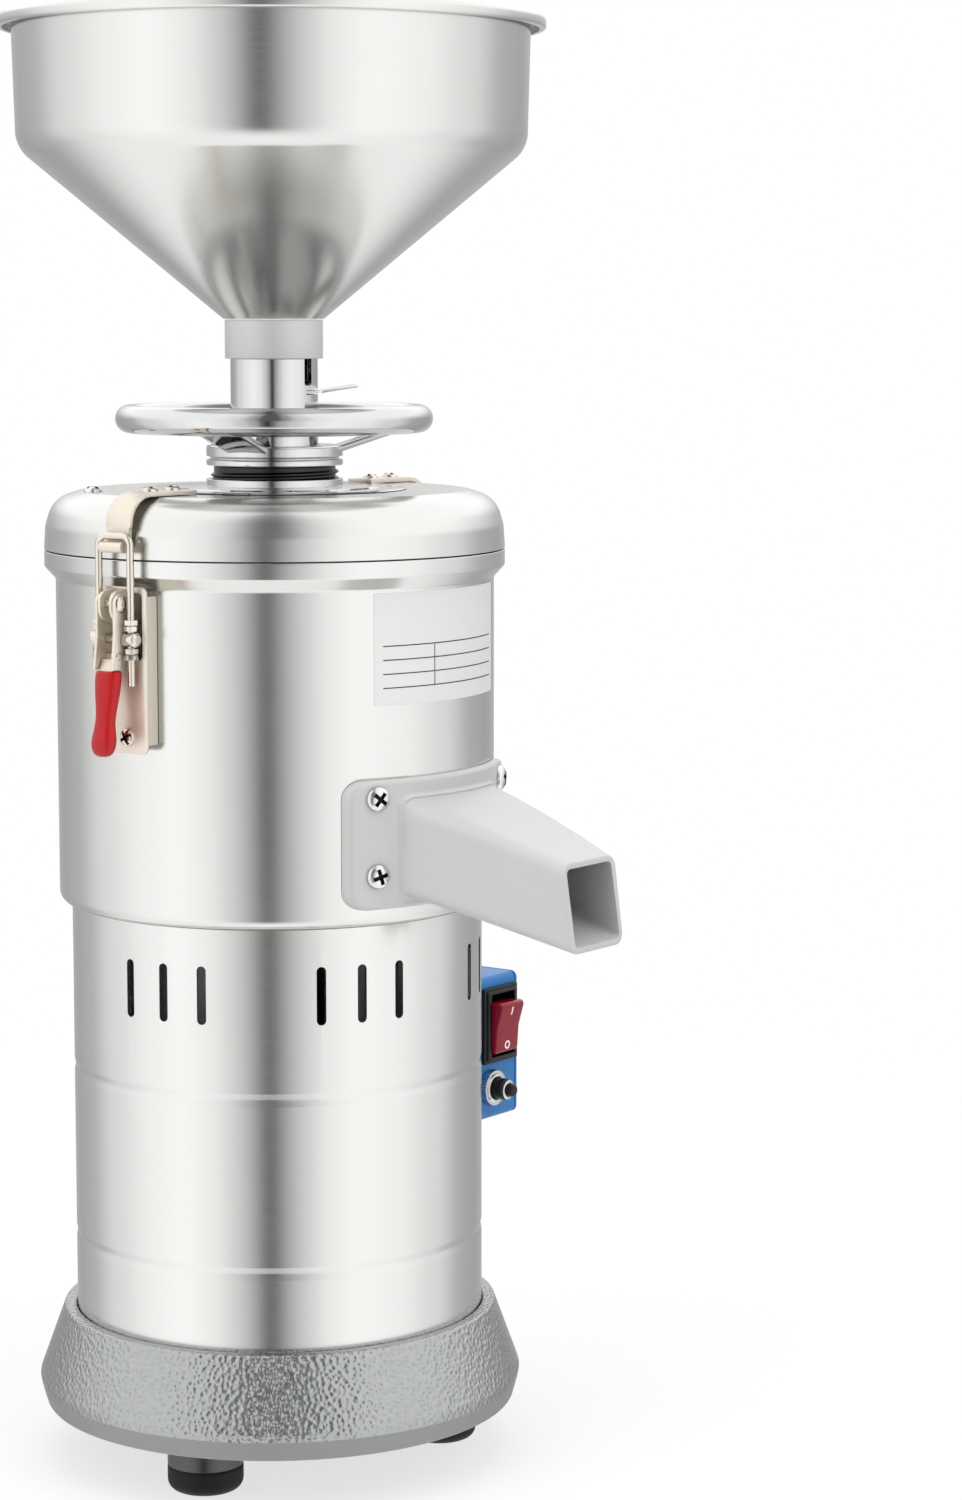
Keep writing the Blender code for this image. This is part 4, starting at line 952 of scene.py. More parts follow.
@dataclass
class Studio(SubAssembly):
    """The camera, the pale floor, the lamps and what metal sees round the machine.

    around and above are the tent's brightness by the degrees round from the camera, level with
    the machine and overhead, and below is the table's. rise and fall say between which slopes of
    the view one passes into the other, and soft is the tent's light on all that isn't metal.
    """

    lens: float = 86.4
    distance: float = 1.6394
    aside: float = 0.0937
    height: float = 0.4998
    pitch: float = 6.9
    azimuth: float = -54.0
    around: tuple[tuple[float, float], ...] = (
        (-180, 0.62), (-150, 0.5), (-128, 0.62), (-100, 1.1), (-72, 1.4), (-52, 1.52), (-34, 1.36),
        (-20, 1.0), (-11, 0.66), (-5, 0.2), (-2, 0.04), (1, 0.2), (8, 0.64), (17, 0.98), (31, 1.36),
        (48, 1.5), (72, 1.4), (100, 1.1), (128, 0.6), (150, 0.5), (180, 0.62),
    )
    above: tuple[tuple[float, float], ...] = (
        (-180, 1.5), (-120, 1.5), (-60, 1.45), (-42, 1.4), (-25, 1.15), (-14, 0.62), (-5, 0.16),
        (5, 0.16), (13, 0.5), (22, 1.0), (40, 1.4), (60, 1.5), (120, 1.5), (180, 1.5),
    )
    below: float = 1.35
    rise: tuple[float, float] = (0.0, 0.4)
    fall: tuple[float, float] = (-0.45, -0.85)
    soft: float = 0.55

    def build(self) -> list[Object]:
        """Sets the camera, the floor, the lamps and the world.

        Returns:
            The floor.
        """
        self.camera()
        self.world()
        self.lamps()
        scene = bpy.context.scene
        scene.view_settings.view_transform = "Standard"
        return [self.floor()]

    def camera(self) -> None:
        """Places the camera as in the photograph: level with the feed tube, looking a little down."""
        turned_by = math.radians(self.azimuth)
        towards = Vector((math.sin(turned_by), -math.cos(turned_by), 0))
        right = Vector((math.cos(turned_by), math.sin(turned_by), 0))
        data = bpy.data.cameras.new("camera")
        data.lens = self.lens
        data.sensor_width = 36.0
        data.clip_start = 0.05
        data.clip_end = 60.0
        camera = bpy.data.objects.new("camera", data)
        camera.location = towards * self.distance + right * self.aside + Vector((0, 0, self.height))
        pitch = math.radians(self.pitch)
        look = -towards * math.cos(pitch) - Vector((0, 0, math.sin(pitch)))
        camera.rotation_euler = look.to_track_quat("-Z", "Y").to_euler()
        bpy.context.scene.collection.objects.link(camera)
        bpy.context.scene.camera = camera

    def floor(self) -> Object:
        """Makes the pale floor, which keeps the machine's shadow and fades to the background.

        Returns:
            The floor.
        """
        bm = bmesh.new()
        bmesh.ops.create_circle(bm, cap_ends=True, radius=20.0, segments=64)
        bmesh.ops.translate(bm, vec=(0, 0, FLOOR_Z * MM), verts=bm.verts)
        floor = plain_object(bm, "studio_floor")
        made = bpy.data.materials.new("pale_studio_floor")
        made.use_nodes = True
        tree = made.node_tree
        tree.nodes.clear()
        place = add_node(tree, "TexCoord").outputs["Object"]
        far = add_node(tree, "VectorMath", {"operation": "LENGTH"}, {0: place}).outputs["Value"]
        settings = {
            "interpolation_type": "SMOOTHSTEP", "From Min": 0.25, "From Max": 1.1, "To Min": 0.72
        }
        fade = add_node(tree, "MapRange", settings, {0: far})
        plain = add_node(tree, "BsdfDiffuse", {"Color": (0.9, 0.9, 0.9, 1)})
        glow = add_node(tree, "Emission", {"Color": (1, 1, 1, 1), "Strength": 1.0})
        share = add_node(tree, "Math", {"operation": "MULTIPLY"}, {0: fade, 1: self.seen(tree)})
        mixed = add_node(tree, "MixShader", links={0: share, 1: plain, 2: glow})
        add_node(tree, "OutputMaterial", links={"Surface": mixed})
        floor.data.materials.append(made)
        floor.visible_glossy = False
        return floor

    def seen(self, tree: NodeTree) -> Node:
        """Adds the test for what is seen directly, or through something clear.

        Args:
            tree: the node tree of the floor or the world.

        Returns:
            The node whose value is 1 there and 0 elsewhere.
        """
        rays = add_node(tree, "LightPath").outputs
        links = {0: rays["Is Camera Ray"], 1: rays["Is Transmission Ray"]}
        return add_node(tree, "Math", {"operation": "MAXIMUM"}, links)

    def world(self) -> None:
        """Makes a white background, and a light tent with dark flags that metal reflects.

        Round the machine the tent has two broad soft boxes, a narrow flag between them and
        darker cloth at the far sides. Above it the cloth is pale but for a wider flag, and below
        it is the light of a white table.
        """
        world = bpy.data.worlds.new("studio_world")
        bpy.context.scene.world = world
        world.use_nodes = True
        tree = world.node_tree
        tree.nodes.clear()
        way = add_node(tree, "TexCoord").outputs["Generated"]
        settings = {"rotation_type": "Z_AXIS", "Angle": -math.radians(self.azimuth)}
        way = add_node(tree, "VectorRotate", settings, {"Vector": way})
        axes = add_node(tree, "SeparateXYZ", links={0: way}).outputs
        back = add_node(tree, "Math", {"operation": "MULTIPLY", 1: -1.0}, {0: axes["Y"]})
        angle = add_node(tree, "Math", {"operation": "ARCTAN2"}, {0: axes["X"], 1: back})
        share = add_node(tree, "MapRange", {"From Min": -math.pi, "From Max": math.pi}, {0: angle})
        around = add_node(tree, "ValToRGB", links={0: share})
        above = add_node(tree, "ValToRGB", links={0: share})
        self.fill_ramp(around.color_ramp, self.around)
        self.fill_ramp(above.color_ramp, self.above)
        smooth = {"interpolation_type": "SMOOTHSTEP"}
        rise, fall = (
            add_node(tree, "MapRange", smooth | {"From Min": near, "From Max": far}, {0: axes["Z"]})
            for near, far in (self.rise, self.fall)
        )
        table = (self.below / 2, self.below / 2, self.below / 2, 1)
        cloth = add_node(tree, "Mix", {"data_type": "RGBA"}, {0: rise, 6: around, 7: above})
        cloth = add_node(tree, "Mix", {"data_type": "RGBA", 7: table}, {0: fall, 6: cloth.outputs[2]})
        bright = add_node(tree, "VectorMath", {"operation": "SCALE", "Scale": 2.0}, {0: cloth.outputs[2]})
        tent = add_node(tree, "Background", {"Strength": 1.0}, {"Color": bright})
        white, soft = (
            add_node(tree, "Background", {"Color": (1, 1, 1, 1), "Strength": strength})
            for strength in (1.0, self.soft)
        )
        lit = add_node(tree, "MixShader", links={0: self.seen(tree), 1: soft, 2: white})
        glossy = add_node(tree, "LightPath").outputs["Is Glossy Ray"]
        shown = add_node(tree, "MixShader", links={0: glossy, 1: lit, 2: tent})
        add_node(tree, "OutputWorld", links={"Surface": shown})

    def fill_ramp(self, ramp: ColorRamp, stops: Sequence[tuple[float, float]]) -> None:
        """Lays the brightness of a cloth into a ramp that goes round the machine once.

        Args:
            ramp: the ramp, which starts behind the machine.
            stops: brightness by degrees. The ramp holds half of it, because it ends at 1.
        """
        ramp.interpolation = "EASE"
        ramp.elements.remove(ramp.elements[-1])
        for index, (degrees, level) in enumerate(stops):
            at = (degrees + 180) / 360
            element = ramp.elements.new(at) if index else ramp.elements[0]
            element.position = at
            element.color = (level / 2, level / 2, level / 2, 1)

    def lamps(self) -> None:
        """Hangs four large soft lamps: left and right of the camera, overhead and behind."""
        aimed_at = Vector((0, 0, 0.3))
        for name, azimuth, rise, away, size, power in (
            ("left_lamp", -104.0, 35.0, 2.2, 1.6, 13.0), ("right_lamp", 6.0, 35.0, 2.2, 1.4, 13.0),
            ("top_lamp", -54.0, 80.0, 2.0, 1.8, 24.0), ("back_lamp", 130.0, 40.0, 2.4, 1.6, 12.0),
        ):
            data = bpy.data.lights.new(name, "AREA")
            data.shape = "SQUARE"
            data.size = size
            data.energy = power
            lamp = bpy.data.objects.new(name, data)
            a, e = math.radians(azimuth), math.radians(rise)
            away_from = Vector((math.sin(a) * math.cos(e), -math.cos(a) * math.cos(e), math.sin(e)))
            lamp.location = away_from * away + aimed_at
            lamp.rotation_euler = away_from.to_track_quat("Z", "Y").to_euler()
            lamp.visible_glossy = False
            bpy.context.scene.collection.objects.link(lamp)


@dataclass
class Base(SubAssembly):
    """The hammer-painted foot casting, its bottom cover and the three rubber feet."""

    radius: float = 111.7
    top_radius: float = 99.8
    height: float = 45.0
    rim: float = 9.0
    cover_radius: float = 105.7
    foot_circle: float = 74.5
    foot_radius: float = 17.1
    foot_band: float = -13.0

    def build(self) -> list[Object]:
        """Builds the casting, the cover and the feet."""
        return [self.casting(), self.cover(), *(self.foot(n, a) for n, a in enumerate((-78, 42, 162), 1))]

    def casting(self) -> Object:
        """Turns the cone with its crisp lower rim, which draws in towards the floor.

        Returns:
            The casting.
        """
        corners = [
            (self.top_radius, self.height, 1.2), (self.radius, self.rim + 3.5, 4),
            (self.radius - 0.7, self.rim, 1.0), (self.radius - 3.0, 0.8, 0.6), (self.radius - 3.6, 0),
            (self.cover_radius + 0.3, 0), (self.cover_radius + 0.3, 2.3), (99, 2.3), (99, 20), (92, 32),
            (60, 32), (60, 37.7), (94.3, 37.7), (94.3, self.height, 1.2),
        ]
        made = piece(
            lathe(corners), "painted_base", HAMMER_PAINT, Body.MACHINE, "base_casting", crease=26
        )
        # The band below the rim turns down from the light and gets the darker plain paint as painted
        # shade.
        return banded(made, SHADED_SMOOTH_PAINT, -1, self.rim)

    def cover(self) -> Object:
        """Cuts the eight air slots in the round bottom cover.

        Returns:
            The cover.
        """
        corners = [(0, 2), (self.cover_radius, 2, 0.4), (self.cover_radius, 0, 0.4), (0, 0)]
        slots = [moved(block((30, -2, -5), (52, 2, 5), 1.9), turn(index * 45)) for index in range(8)]
        disc = pierced(lathe(corners, closed=False), *slots)
        return piece(disc, "slotted_bottom_cover", TURNED_DARK_STEEL, Body.MACHINE, "bottom_cover")

    def foot(self, number: int, angle: float) -> Object:
        """Makes one foot, whose upper band is polished with a painted sheen and whose lower edge is
        round.

        Args:
            number: its number.
            angle: where it stands, in degrees round from the spout.

        Returns:
            The foot.
        """
        radius = self.foot_radius
        corners = [
            (0, -0.3), (radius - 1.6, -0.3, 1.0), (radius, -2.4, 1.0), (radius, self.foot_band, 0.3),
            (radius - 0.35, self.foot_band - 0.5, 0.2), (radius, self.foot_band - 1.2, 0.3),
            (radius, -25, 5.0), (0, -25),
        ]
        place = facing(angle) @ shift(self.foot_circle, 0, 0)
        made = piece(
            moved(lathe(corners, Facets.KNOB, closed=False), place), f"rubber_foot_{number}_dressed",
            MOULDED_RUBBER, Body.MACHINE, f"rubber_foot_{number}",
        )
        # The upper band is glossier and lighter in colour: a polished band with a painted sheen.
        return banded(made, POLISHED_SHEEN_RUBBER, self.foot_band, -2.6)


@dataclass
class MotorShell(SubAssembly):
    """The lower stainless shell with its two rolled grooves and six groups of vent slots."""

    radius: float = 94.0
    wall: float = 1.5
    low: float = 38.0
    high: float = 233.7
    grooves: tuple[float, ...] = (158.0, 80.0)
    groove_depth: float = 0.7
    slot_width: float = 4.3
    slot_z: tuple[float, float] = (191.0, 217.0)
    groups: tuple[float, ...] = (-149.2, -83.2, -27.7, 27.7, 83.2, 149.2)
    pitch: float = 11.5

    def build(self) -> list[Object]:
        """Turns the shell and cuts its slots and the way for the wires.

        Returns:
            The shell alone.
        """
        outer = self.radius
        rings = []
        for height in self.grooves:
            rings += [
                (outer, height + 3, 2), (outer - self.groove_depth, height, 2), (outer, height - 3, 2)
            ]
        inner = outer - self.wall
        corners = [
            (outer, self.high, 0.4), *rings, (outer, self.low), (inner, self.low), (inner, self.high)
        ]
        wires = rod((80, 0, 150), (99, 0, 150), 7)
        shell = pierced(lathe(corners), *self.slots(), wires)
        return [
            piece(shell, "brushed_motor_shell", SPUN_STAINLESS, Body.MACHINE, "motor_shell", crease=24)
        ]

    def slots(self) -> Iterable[BMesh]:
        """Makes the cutters of the round-ended slots, three to a group.

        Returns:
            The cutters, one after another.
        """
        half = self.slot_width / 2
        low, high = self.slot_z
        ends = half * 0.98
        corners = [(-half, low, ends), (half, low, ends), (half, high, ends), (-half, high, ends)]
        for group in self.groups:
            for step in (-1, 0, 1):
                cutter = slab(corners, -self.radius - 5, -self.radius + 8)
                yield moved(cutter, turn(group + step * self.pitch))


@dataclass
class GrindingHousing(SubAssembly):
    """The upper stainless housing with its flange and the bare label."""

    radius: float = 99.6
    flange: float = 104.6
    low: float = 234.0
    high: float = 394.2
    label_half: float = 25.6
    label_z: tuple[float, float] = (331.0, 380.0)
    rule: float = 0.5
    split: float = -6.6
    first_row: float = 23.1
    row: float = 6.1

    def build(self) -> list[Object]:
        """Builds the housing, the label and the label's ruled lines.

        Returns:
            The housing, the label and its ruling.
        """
        corners = [
            (self.flange, self.high, 0.5), (self.flange, 387, 1.2), (self.radius, 381.5, 2.5),
            (self.radius, self.low, 5), (80, self.low), (80, self.low + 5), (95.6, self.low + 5),
            (95.6, self.high), (96.7, self.high), (96.7, self.high - 3), (100.6, self.high - 3),
            (100.6, self.high),
        ]
        port = block((-27, -110, 251), (27, -85, 287))
        body = pierced(lathe(corners), port)
        housing = piece(
            body, "brushed_grinding_housing", SPUN_STAINLESS, Body.MACHINE, "grinding_housing", crease=24
        )
        return [housing, self.label(), self.rules()]

    def bent(self, x: tuple[float, float], z: tuple[float, float], proud: float, thick: float) -> BMesh:
        """Makes a thin patch that lies on the housing.

        Args:
            x: where it starts and ends, in degrees round from the spout.
            z: the heights at which it starts and ends.
            proud: how far its back is out from the housing.
            thick: its thickness.

        Returns:
            The patch.
        """
        bm = bmesh.new()
        columns = max(1, round((x[1] - x[0]) / 1.6))
        bmesh.ops.create_grid(bm, x_segments=columns, y_segments=1, size=0.5)
        extruded(bm, bm.faces[:], (0, 0, 1))
        for vert in bm.verts:
            angle = math.radians(x[0] + (vert.co.x + 0.5) * (x[1] - x[0]))
            height = z[0] + (vert.co.y + 0.5) * (z[1] - z[0])
            out = self.radius + proud + vert.co.z * thick
            vert.co = Vector((out * math.sin(angle), -out * math.cos(angle), height)) * MM
        return weld(bm)

    def label(self) -> Object:
        """Lays the bare label on the front of the housing.

        Returns:
            The label.
        """
        half = self.label_half
        film = soften(self.bent((-half, half), self.label_z, 0.02, 0.15), 0.05, 1)
        return piece(film, "bare_label", LABEL_FILM, Body.MACHINE)

    def rules(self) -> Object:
        """Prints a ruled table of three rows and two columns on the label.

        Returns:
            The ruling, as one piece.
        """
        half = self.label_half * 0.9
        high = self.label_z[1]
        rows = [high - self.first_row - step * self.row for step in range(4)]
        ink = [self.bent((-half, half), (z - self.rule / 2, z + self.rule / 2), 0.16, 0.06) for z in rows]
        line = math.degrees(self.rule / 2 / self.radius)
        ink.append(self.bent((self.split - line, self.split + line), (rows[-1], rows[0]), 0.16, 0.05))
        return piece(joined(*ink), "label_ruling", LABEL_INK, Body.MACHINE)


@dataclass
class Lid(SubAssembly):
    """The pressed lid, its bright stepped boss, and the screws that hold them."""

    radius: float = 104.6
    top: float = 421.0
    bottom: float = 394.8
    boss: float = 60.0
    bore: float = 29.5
    screw_circle: float = 84.0

    def build(self) -> list[Object]:
        """Builds the lid, the boss and the lid's screws."""
        return [self.lid(), self.cover_disc(), *self.screws()]

    def lid(self) -> Object:
        """Turns the lid with its round shoulder and straight skirt.

        Returns:
            The lid.
        """
        corners = [
            (36.3, self.top), (88, self.top, 8), (100.5, 417, 12), (self.radius - 0.6, 405, 10),
            (self.radius, self.bottom + 0.4, 0.4), (self.radius, self.bottom), (100.9, self.bottom),
            (98.4, 409), (86, self.top - 4), (36.3, self.top - 4),
        ]
        return piece(lathe(corners), "brushed_lid", SPUN_STAINLESS, Body.MACHINE, "lid", crease=24)

    def cover_disc(self) -> Object:
        """Turns the boss: a wide thin step, a narrow high one and the skirt inside the lid.

        Returns:
            The boss.
        """
        rest = self.top + 0.3
        corners = [
            (self.bore, 426, 0.4), (31, 426, 0.4), (31, 422.7, 0.3), (47, 422.5, 0.4), (48, 421.9, 0.3),
            (self.boss - 0.6, 421.9, 0.4), (self.boss, rest), (36, rest), (36, 392), (self.bore, 392),
        ]
        disc = lathe(corners, Facets.HUB)
        return piece(disc, "bright_lid_boss", BRIGHT_CHROME, Body.MACHINE, "lid_boss", crease=24)

    def screws(self) -> Iterable[Object]:
        """Drives two pan-head screws through the lid's flat top.

        Returns:
            The screws, one after another.
        """
        for number, angle in enumerate((-126, 126), 1):
            place = facing(angle) @ shift(self.screw_circle, 0, self.top)
            head = moved(pan_head(4.2, 2.4), turn(25 * number), place)
            yield piece(head, f"lid_screw_{number}", BRIGHT_SCREW, Body.MACHINE)


@dataclass
class Adjuster(SubAssembly):
    """The threaded sleeve and the chromed handwheel that raise and lower the upper disc."""

    sleeve: float = 29.0
    thread_start: float = 393.5
    pitch: float = 3.0
    turns: int = 12
    wheel: float = 72.0
    tube: float = 6.25
    height: float = 453.0
    hub: float = 31.0
    hub_z: tuple[float, float] = (432.0, 441.0)
    bore: float = 20.3
    spokes: tuple[float, ...] = (-76.0, 44.0, 164.0)

    def build(self) -> list[Object]:
        """Builds the sleeve and the wheel."""
        return [self.threaded_sleeve(), self.handwheel()]

    def threaded_sleeve(self) -> Object:
        """Turns the sleeve's core and winds a real helical thread round it.

        Returns:
            The sleeve with its thread.
        """
        root = self.sleeve - 1.4
        corners = [
            (root, 431.7, 0.4), (root, 331.3), (44, 331.3, 0.5), (44, 325.3, 0.5), (20.6, 325.3),
            (20.6, 431.7),
        ]
        core = lathe(corners, Facets.HUB)
        tooth = [(root - 0.2, -1.3), (self.sleeve, -0.3), (self.sleeve, 0.3), (root - 0.2, 1.3)]
        thread = wound(tooth, self.thread_start, self.pitch, self.turns, Facets.KNOB.value)
        return piece(
            joined(core, thread), "threaded_sleeve_dressed", TURNED_DARK_STEEL, Body.HANDWHEEL,
            "threaded_sleeve",
        )

    def handwheel(self) -> Object:
        """Makes the round rim, the two-step hub and three flat spokes that rise to the rim.

        Returns:
            The wheel.
        """
        ring = self.wheel - self.tube
        section = bmesh.new()
        bmesh.ops.create_circle(section, cap_ends=False, radius=self.tube * MM, segments=32)
        moved(section, turn(90, "X"), shift(ring, 0, self.height))
        spun(section, section.verts[:] + section.edges[:], Facets.BODY.value)
        low, high = self.hub_z
        corners = [
            (self.bore, high, 0.4), (self.hub, high, 1.0), (self.hub, 436.2, 0.4),
            (self.hub - 1.8, 435.6, 0.3), (self.hub - 1.8, 435.0, 0.3), (self.hub, 434.6, 0.4),
            (self.hub, low, 0.6), (self.bore, low),
        ]
        hub = lathe(corners, Facets.HUB)
        start = Vector((self.hub - 5, 0, high - 2.5))
        end = Vector((ring - 2, 0, self.height - 2))
        run = end - start
        slope = Matrix.Rotation(-math.atan2(run.z, run.x), 4, "Y")
        seat = Matrix.Translation(start * MM)
        bars = [
            moved(block((0, -10, -1.5), (run.length, 10, 1.5), 0.7, 2), slope, seat, facing(angle))
            for angle in self.spokes
        ]
        wheel = pierced(section, hub, *bars, joins=True)
        return piece(wheel, "chromed_handwheel", BRIGHT_CHROME, Body.HANDWHEEL, "handwheel", crease=30)


@dataclass
class Feed(SubAssembly):
    """The chromed feed tube, the gate across it and the hopper on top."""

    tube: float = 19.8
    tube_wall: float = 1.2
    tube_z: tuple[float, float] = (400.0, 496.0)
    gate_bearing: float = 44.0
    gate_z: float = 465.0
    gate_thick: float = 1.2
    gate_half: float = 14.0
    gate_tilt: float = 9.0
    bowl: float = 116.0
    rim: float = 123.0
    top: float = 632.0
    wall: float = 1.2
    corner_z: float = 573.2
    collar: float = 22.2
    collar_z: tuple[float, float] = (480.0, 498.0)

    def build(self) -> list[Object]:
        """Builds the tube, the gate and the hopper with its collar."""
        return [self.feed_tube(), self.gate(), self.hopper(), self.neck_collar()]

    def feed_tube(self) -> Object:
        """Cuts the bayonet slot and the gate's slit in the tube.

        Returns:
            The tube.
        """
        low, high = self.tube_z
        outer, inner = self.tube, self.tube - self.tube_wall
        tube = lathe([(outer, high, 0.3), (outer, low), (inner, low), (inner, high)], Facets.HUB)
        bayonet = block((-2.5, -25, 468), (2.5, -15, 482), 0.9, 2)
        reach = self.gate_half + 0.6
        slit = block(
            (9, -reach, self.gate_z - self.gate_thick), (26, reach, self.gate_z + self.gate_thick)
        )
        cut = pierced(tube, bayonet, moved(slit, facing(self.gate_bearing)))
        return piece(cut, "chromed_feed_tube", BRIGHT_CHROME, Body.ADJUSTER, "feed_tube", crease=28)

    def gate(self) -> Object:
        """Makes the flat gate with a round inner end and a tab bent up at its outer end.

        Returns:
            The gate.
        """
        half = self.gate_half
        thick = self.gate_thick / 2
        corners = [(21.5, half, 3), (-17, half, half * 0.98), (-17, -half, half * 0.98), (21.5, -half, 3)]
        flat = moved(slab(corners, -thick, thick), turn(90, "X"), shift(0, 0, self.gate_z))
        tab = moved(
            block((0, -9, -thick), (17, 9, thick), 0.4, 2), turn(-self.gate_tilt, "Y"),
            shift(20.5, 0, self.gate_z),
        )
        blade = moved(pierced(flat, tab, joins=True), facing(self.gate_bearing))
        return piece(blade, "bright_feed_gate", BRIGHT_SCREW, Body.GATE, "feed_gate")

    def hopper(self) -> Object:
        """Turns the sheet of the bowl and the cone, with a rolled lip.

        Returns:
            The hopper.
        """
        inner = self.bowl - self.wall
        outer = self.bowl
        top = self.top
        rim = self.rim
        neck = self.collar - self.wall
        slope = Vector((inner - 1.6 - neck, self.corner_z + 1 - self.collar_z[1] + 0.3)).normalized()
        out = Vector((slope.y, -slope.x)) * self.wall
        corners = [
            (neck, self.collar_z[1] - 0.3, 1.5), (inner - 1.6, self.corner_z + 1, 13), (inner, top, 2.6),
            (rim - 0.2, top, 2.4), (rim, top - 5.4, 1.2), (rim - 3.2, top - 6, 0.6),
            (rim - 2.9, top - 4.8, 0.3), (rim - 1.8, top - 3.0, 0.8), (rim - 2.2, top - 1.4, 0.8),
            (outer + 0.2, top - 1.4, 1.4), (outer - 1.4, self.corner_z + 0.6, 14),
            (neck + out.x + 1.0, self.collar_z[1] - 0.2, 0.8),
        ]
        sheet = lathe(corners, segments=8)
        return piece(sheet, "spun_hopper", SPUN_STAINLESS, Body.HOPPER, "hopper", crease=24)

    def neck_collar(self) -> Object:
        """Turns the plain blasted collar that slips over the feed tube.

        Returns:
            The collar.
        """
        low, high = self.collar_z
        outer, inner = self.collar, self.collar - self.wall
        corners = [(outer, high - 0.6, 0.6), (outer, low, 0.3), (inner, low, 0.3), (inner, high - 0.5)]
        ring = lathe(corners, Facets.HUB)
        return piece(ring, "blasted_hopper_collar", DULL_STAINLESS, Body.HOPPER, crease=28)


@dataclass
class Spout(SubAssembly):
    """The cast spout: a plate bent to the housing and a square chute that narrows and dips."""

    plate_radius: tuple[float, float] = (99.9, 103.6)
    plate_half: float = 56.7
    plate_z: tuple[float, float] = (242.0, 299.0)
    plate_corner: float = 8.0
    plate_edge: float = 1.8
    wall: float = 3.0
    fillet: float = 2.0
    fade: tuple[float, float] = (108.0, 134.0)
    root: Section = Section(38.0, 250.2, 295.0, 6.5, -90.0, -90.0)
    end: Section = Section(20.0, 227.0, 266.5, 5.5, -178.5, -173.5)
    screw_bearing: float = 25.8
    screw_z: tuple[float, float] = (257.0, 291.0)

    def build(self) -> list[Object]:
        """Builds the casting and its four screws."""
        return [self.casting(), *self.screws()]

    def chute(self, reach: float, grown: float = 0.0) -> Section:
        """Gives the chute's section at a distance from the axis.

        Args:
            reach: the distance of its lower edge.
            grown: how much larger it is all round.

        Returns:
            The section.
        """
        share = (reach + self.root.y_low) / (self.root.y_low - self.end.y_low)
        return self.root.towards(self.end, share).grown(grown)

    def casting(self) -> Object:
        """Skins the plate, the fillet, the chute and its channel, then bends the plate.

        Returns:
            The spout.
        """
        inner, outer = self.plate_radius
        plate = Section(self.plate_half, *self.plate_z, self.plate_corner, -outer, -outer)
        edge = self.plate_edge
        rim = [plate.grown(0, inner - outer), plate.grown(0, -edge)]
        for angle in (30, 60, 90):
            drop = math.radians(angle)
            rim.append(plate.grown(-edge * (1 - math.cos(drop)), edge * (math.sin(drop) - 1)))
        foot = self.chute(outer)
        foot = Section(foot.half, foot.low, foot.high, foot.corner, -outer, -outer)
        start = foot.grown(self.fillet)
        face = [rim[-1].towards(start, share / 6) for share in range(1, 6)]
        sweep = []
        for angle in (0, 22, 45, 68):
            drop = math.radians(angle)
            sweep.append(
                foot.grown(self.fillet * (1 - math.sin(drop)), self.fillet * (1 - math.cos(drop)))
            )
        run = [self.chute(reach) for reach in (outer + self.fillet, 113, 122, 134, 156)]
        mouth = [
            self.end.grown(0, -1.2), self.end.grown(-0.15, -0.6), self.end.grown(-0.45, -0.15),
            self.end.grown(-1.2, 0), self.end.grown(0.4 - self.wall, 0),
            self.end.grown(0.1 - self.wall, -0.1), self.end.grown(-self.wall, -0.5),
        ]
        channel = [self.chute(reach, -self.wall) for reach in (156, 134, 122, 113)]
        back = self.chute(inner, -self.wall)
        back = Section(back.half, back.low, back.high, back.corner, -inner, -inner)
        rear = [back.towards(rim[0], share / 5) for share in range(5)]
        loops = [each.wire() for each in (*rim, *face, *sweep, *run, *mouth, *channel, *rear)]
        casting = loft(loops, closed=True)
        for vert in casting.verts:
            reach = -vert.co.y / MM
            radius = min(max(reach, inner), outer)
            near, far = self.fade
            share = min(1.0, max(0.0, (far - reach) / (far - near)))
            sag = radius - math.sqrt(radius * radius - (vert.co.x / MM) ** 2)
            vert.co.y += sag * share * MM
        bmesh.ops.recalc_face_normals(casting, faces=casting.faces)
        return piece(casting, "cast_spout", SATIN_CASTING, Body.MACHINE, "discharge_spout", crease=50)

    def screws(self) -> Iterable[Object]:
        """Drives the four pan-head screws square to the bent plate.

        Returns:
            The screws, one after another.
        """
        number = 0
        for height in self.screw_z:
            for angle in (-self.screw_bearing, self.screw_bearing):
                number += 1
                place = facing(angle) @ shift(self.plate_radius[1] + 0.05, 0, height)
                head = moved(pan_head(5.7, 3.0), turn(17 * number), turn(90, "Y"), place)
                name = f"spout_screw_{number}"
                yield piece(head, f"{name}_dressed", BRIGHT_SCREW, Body.MACHINE, name)


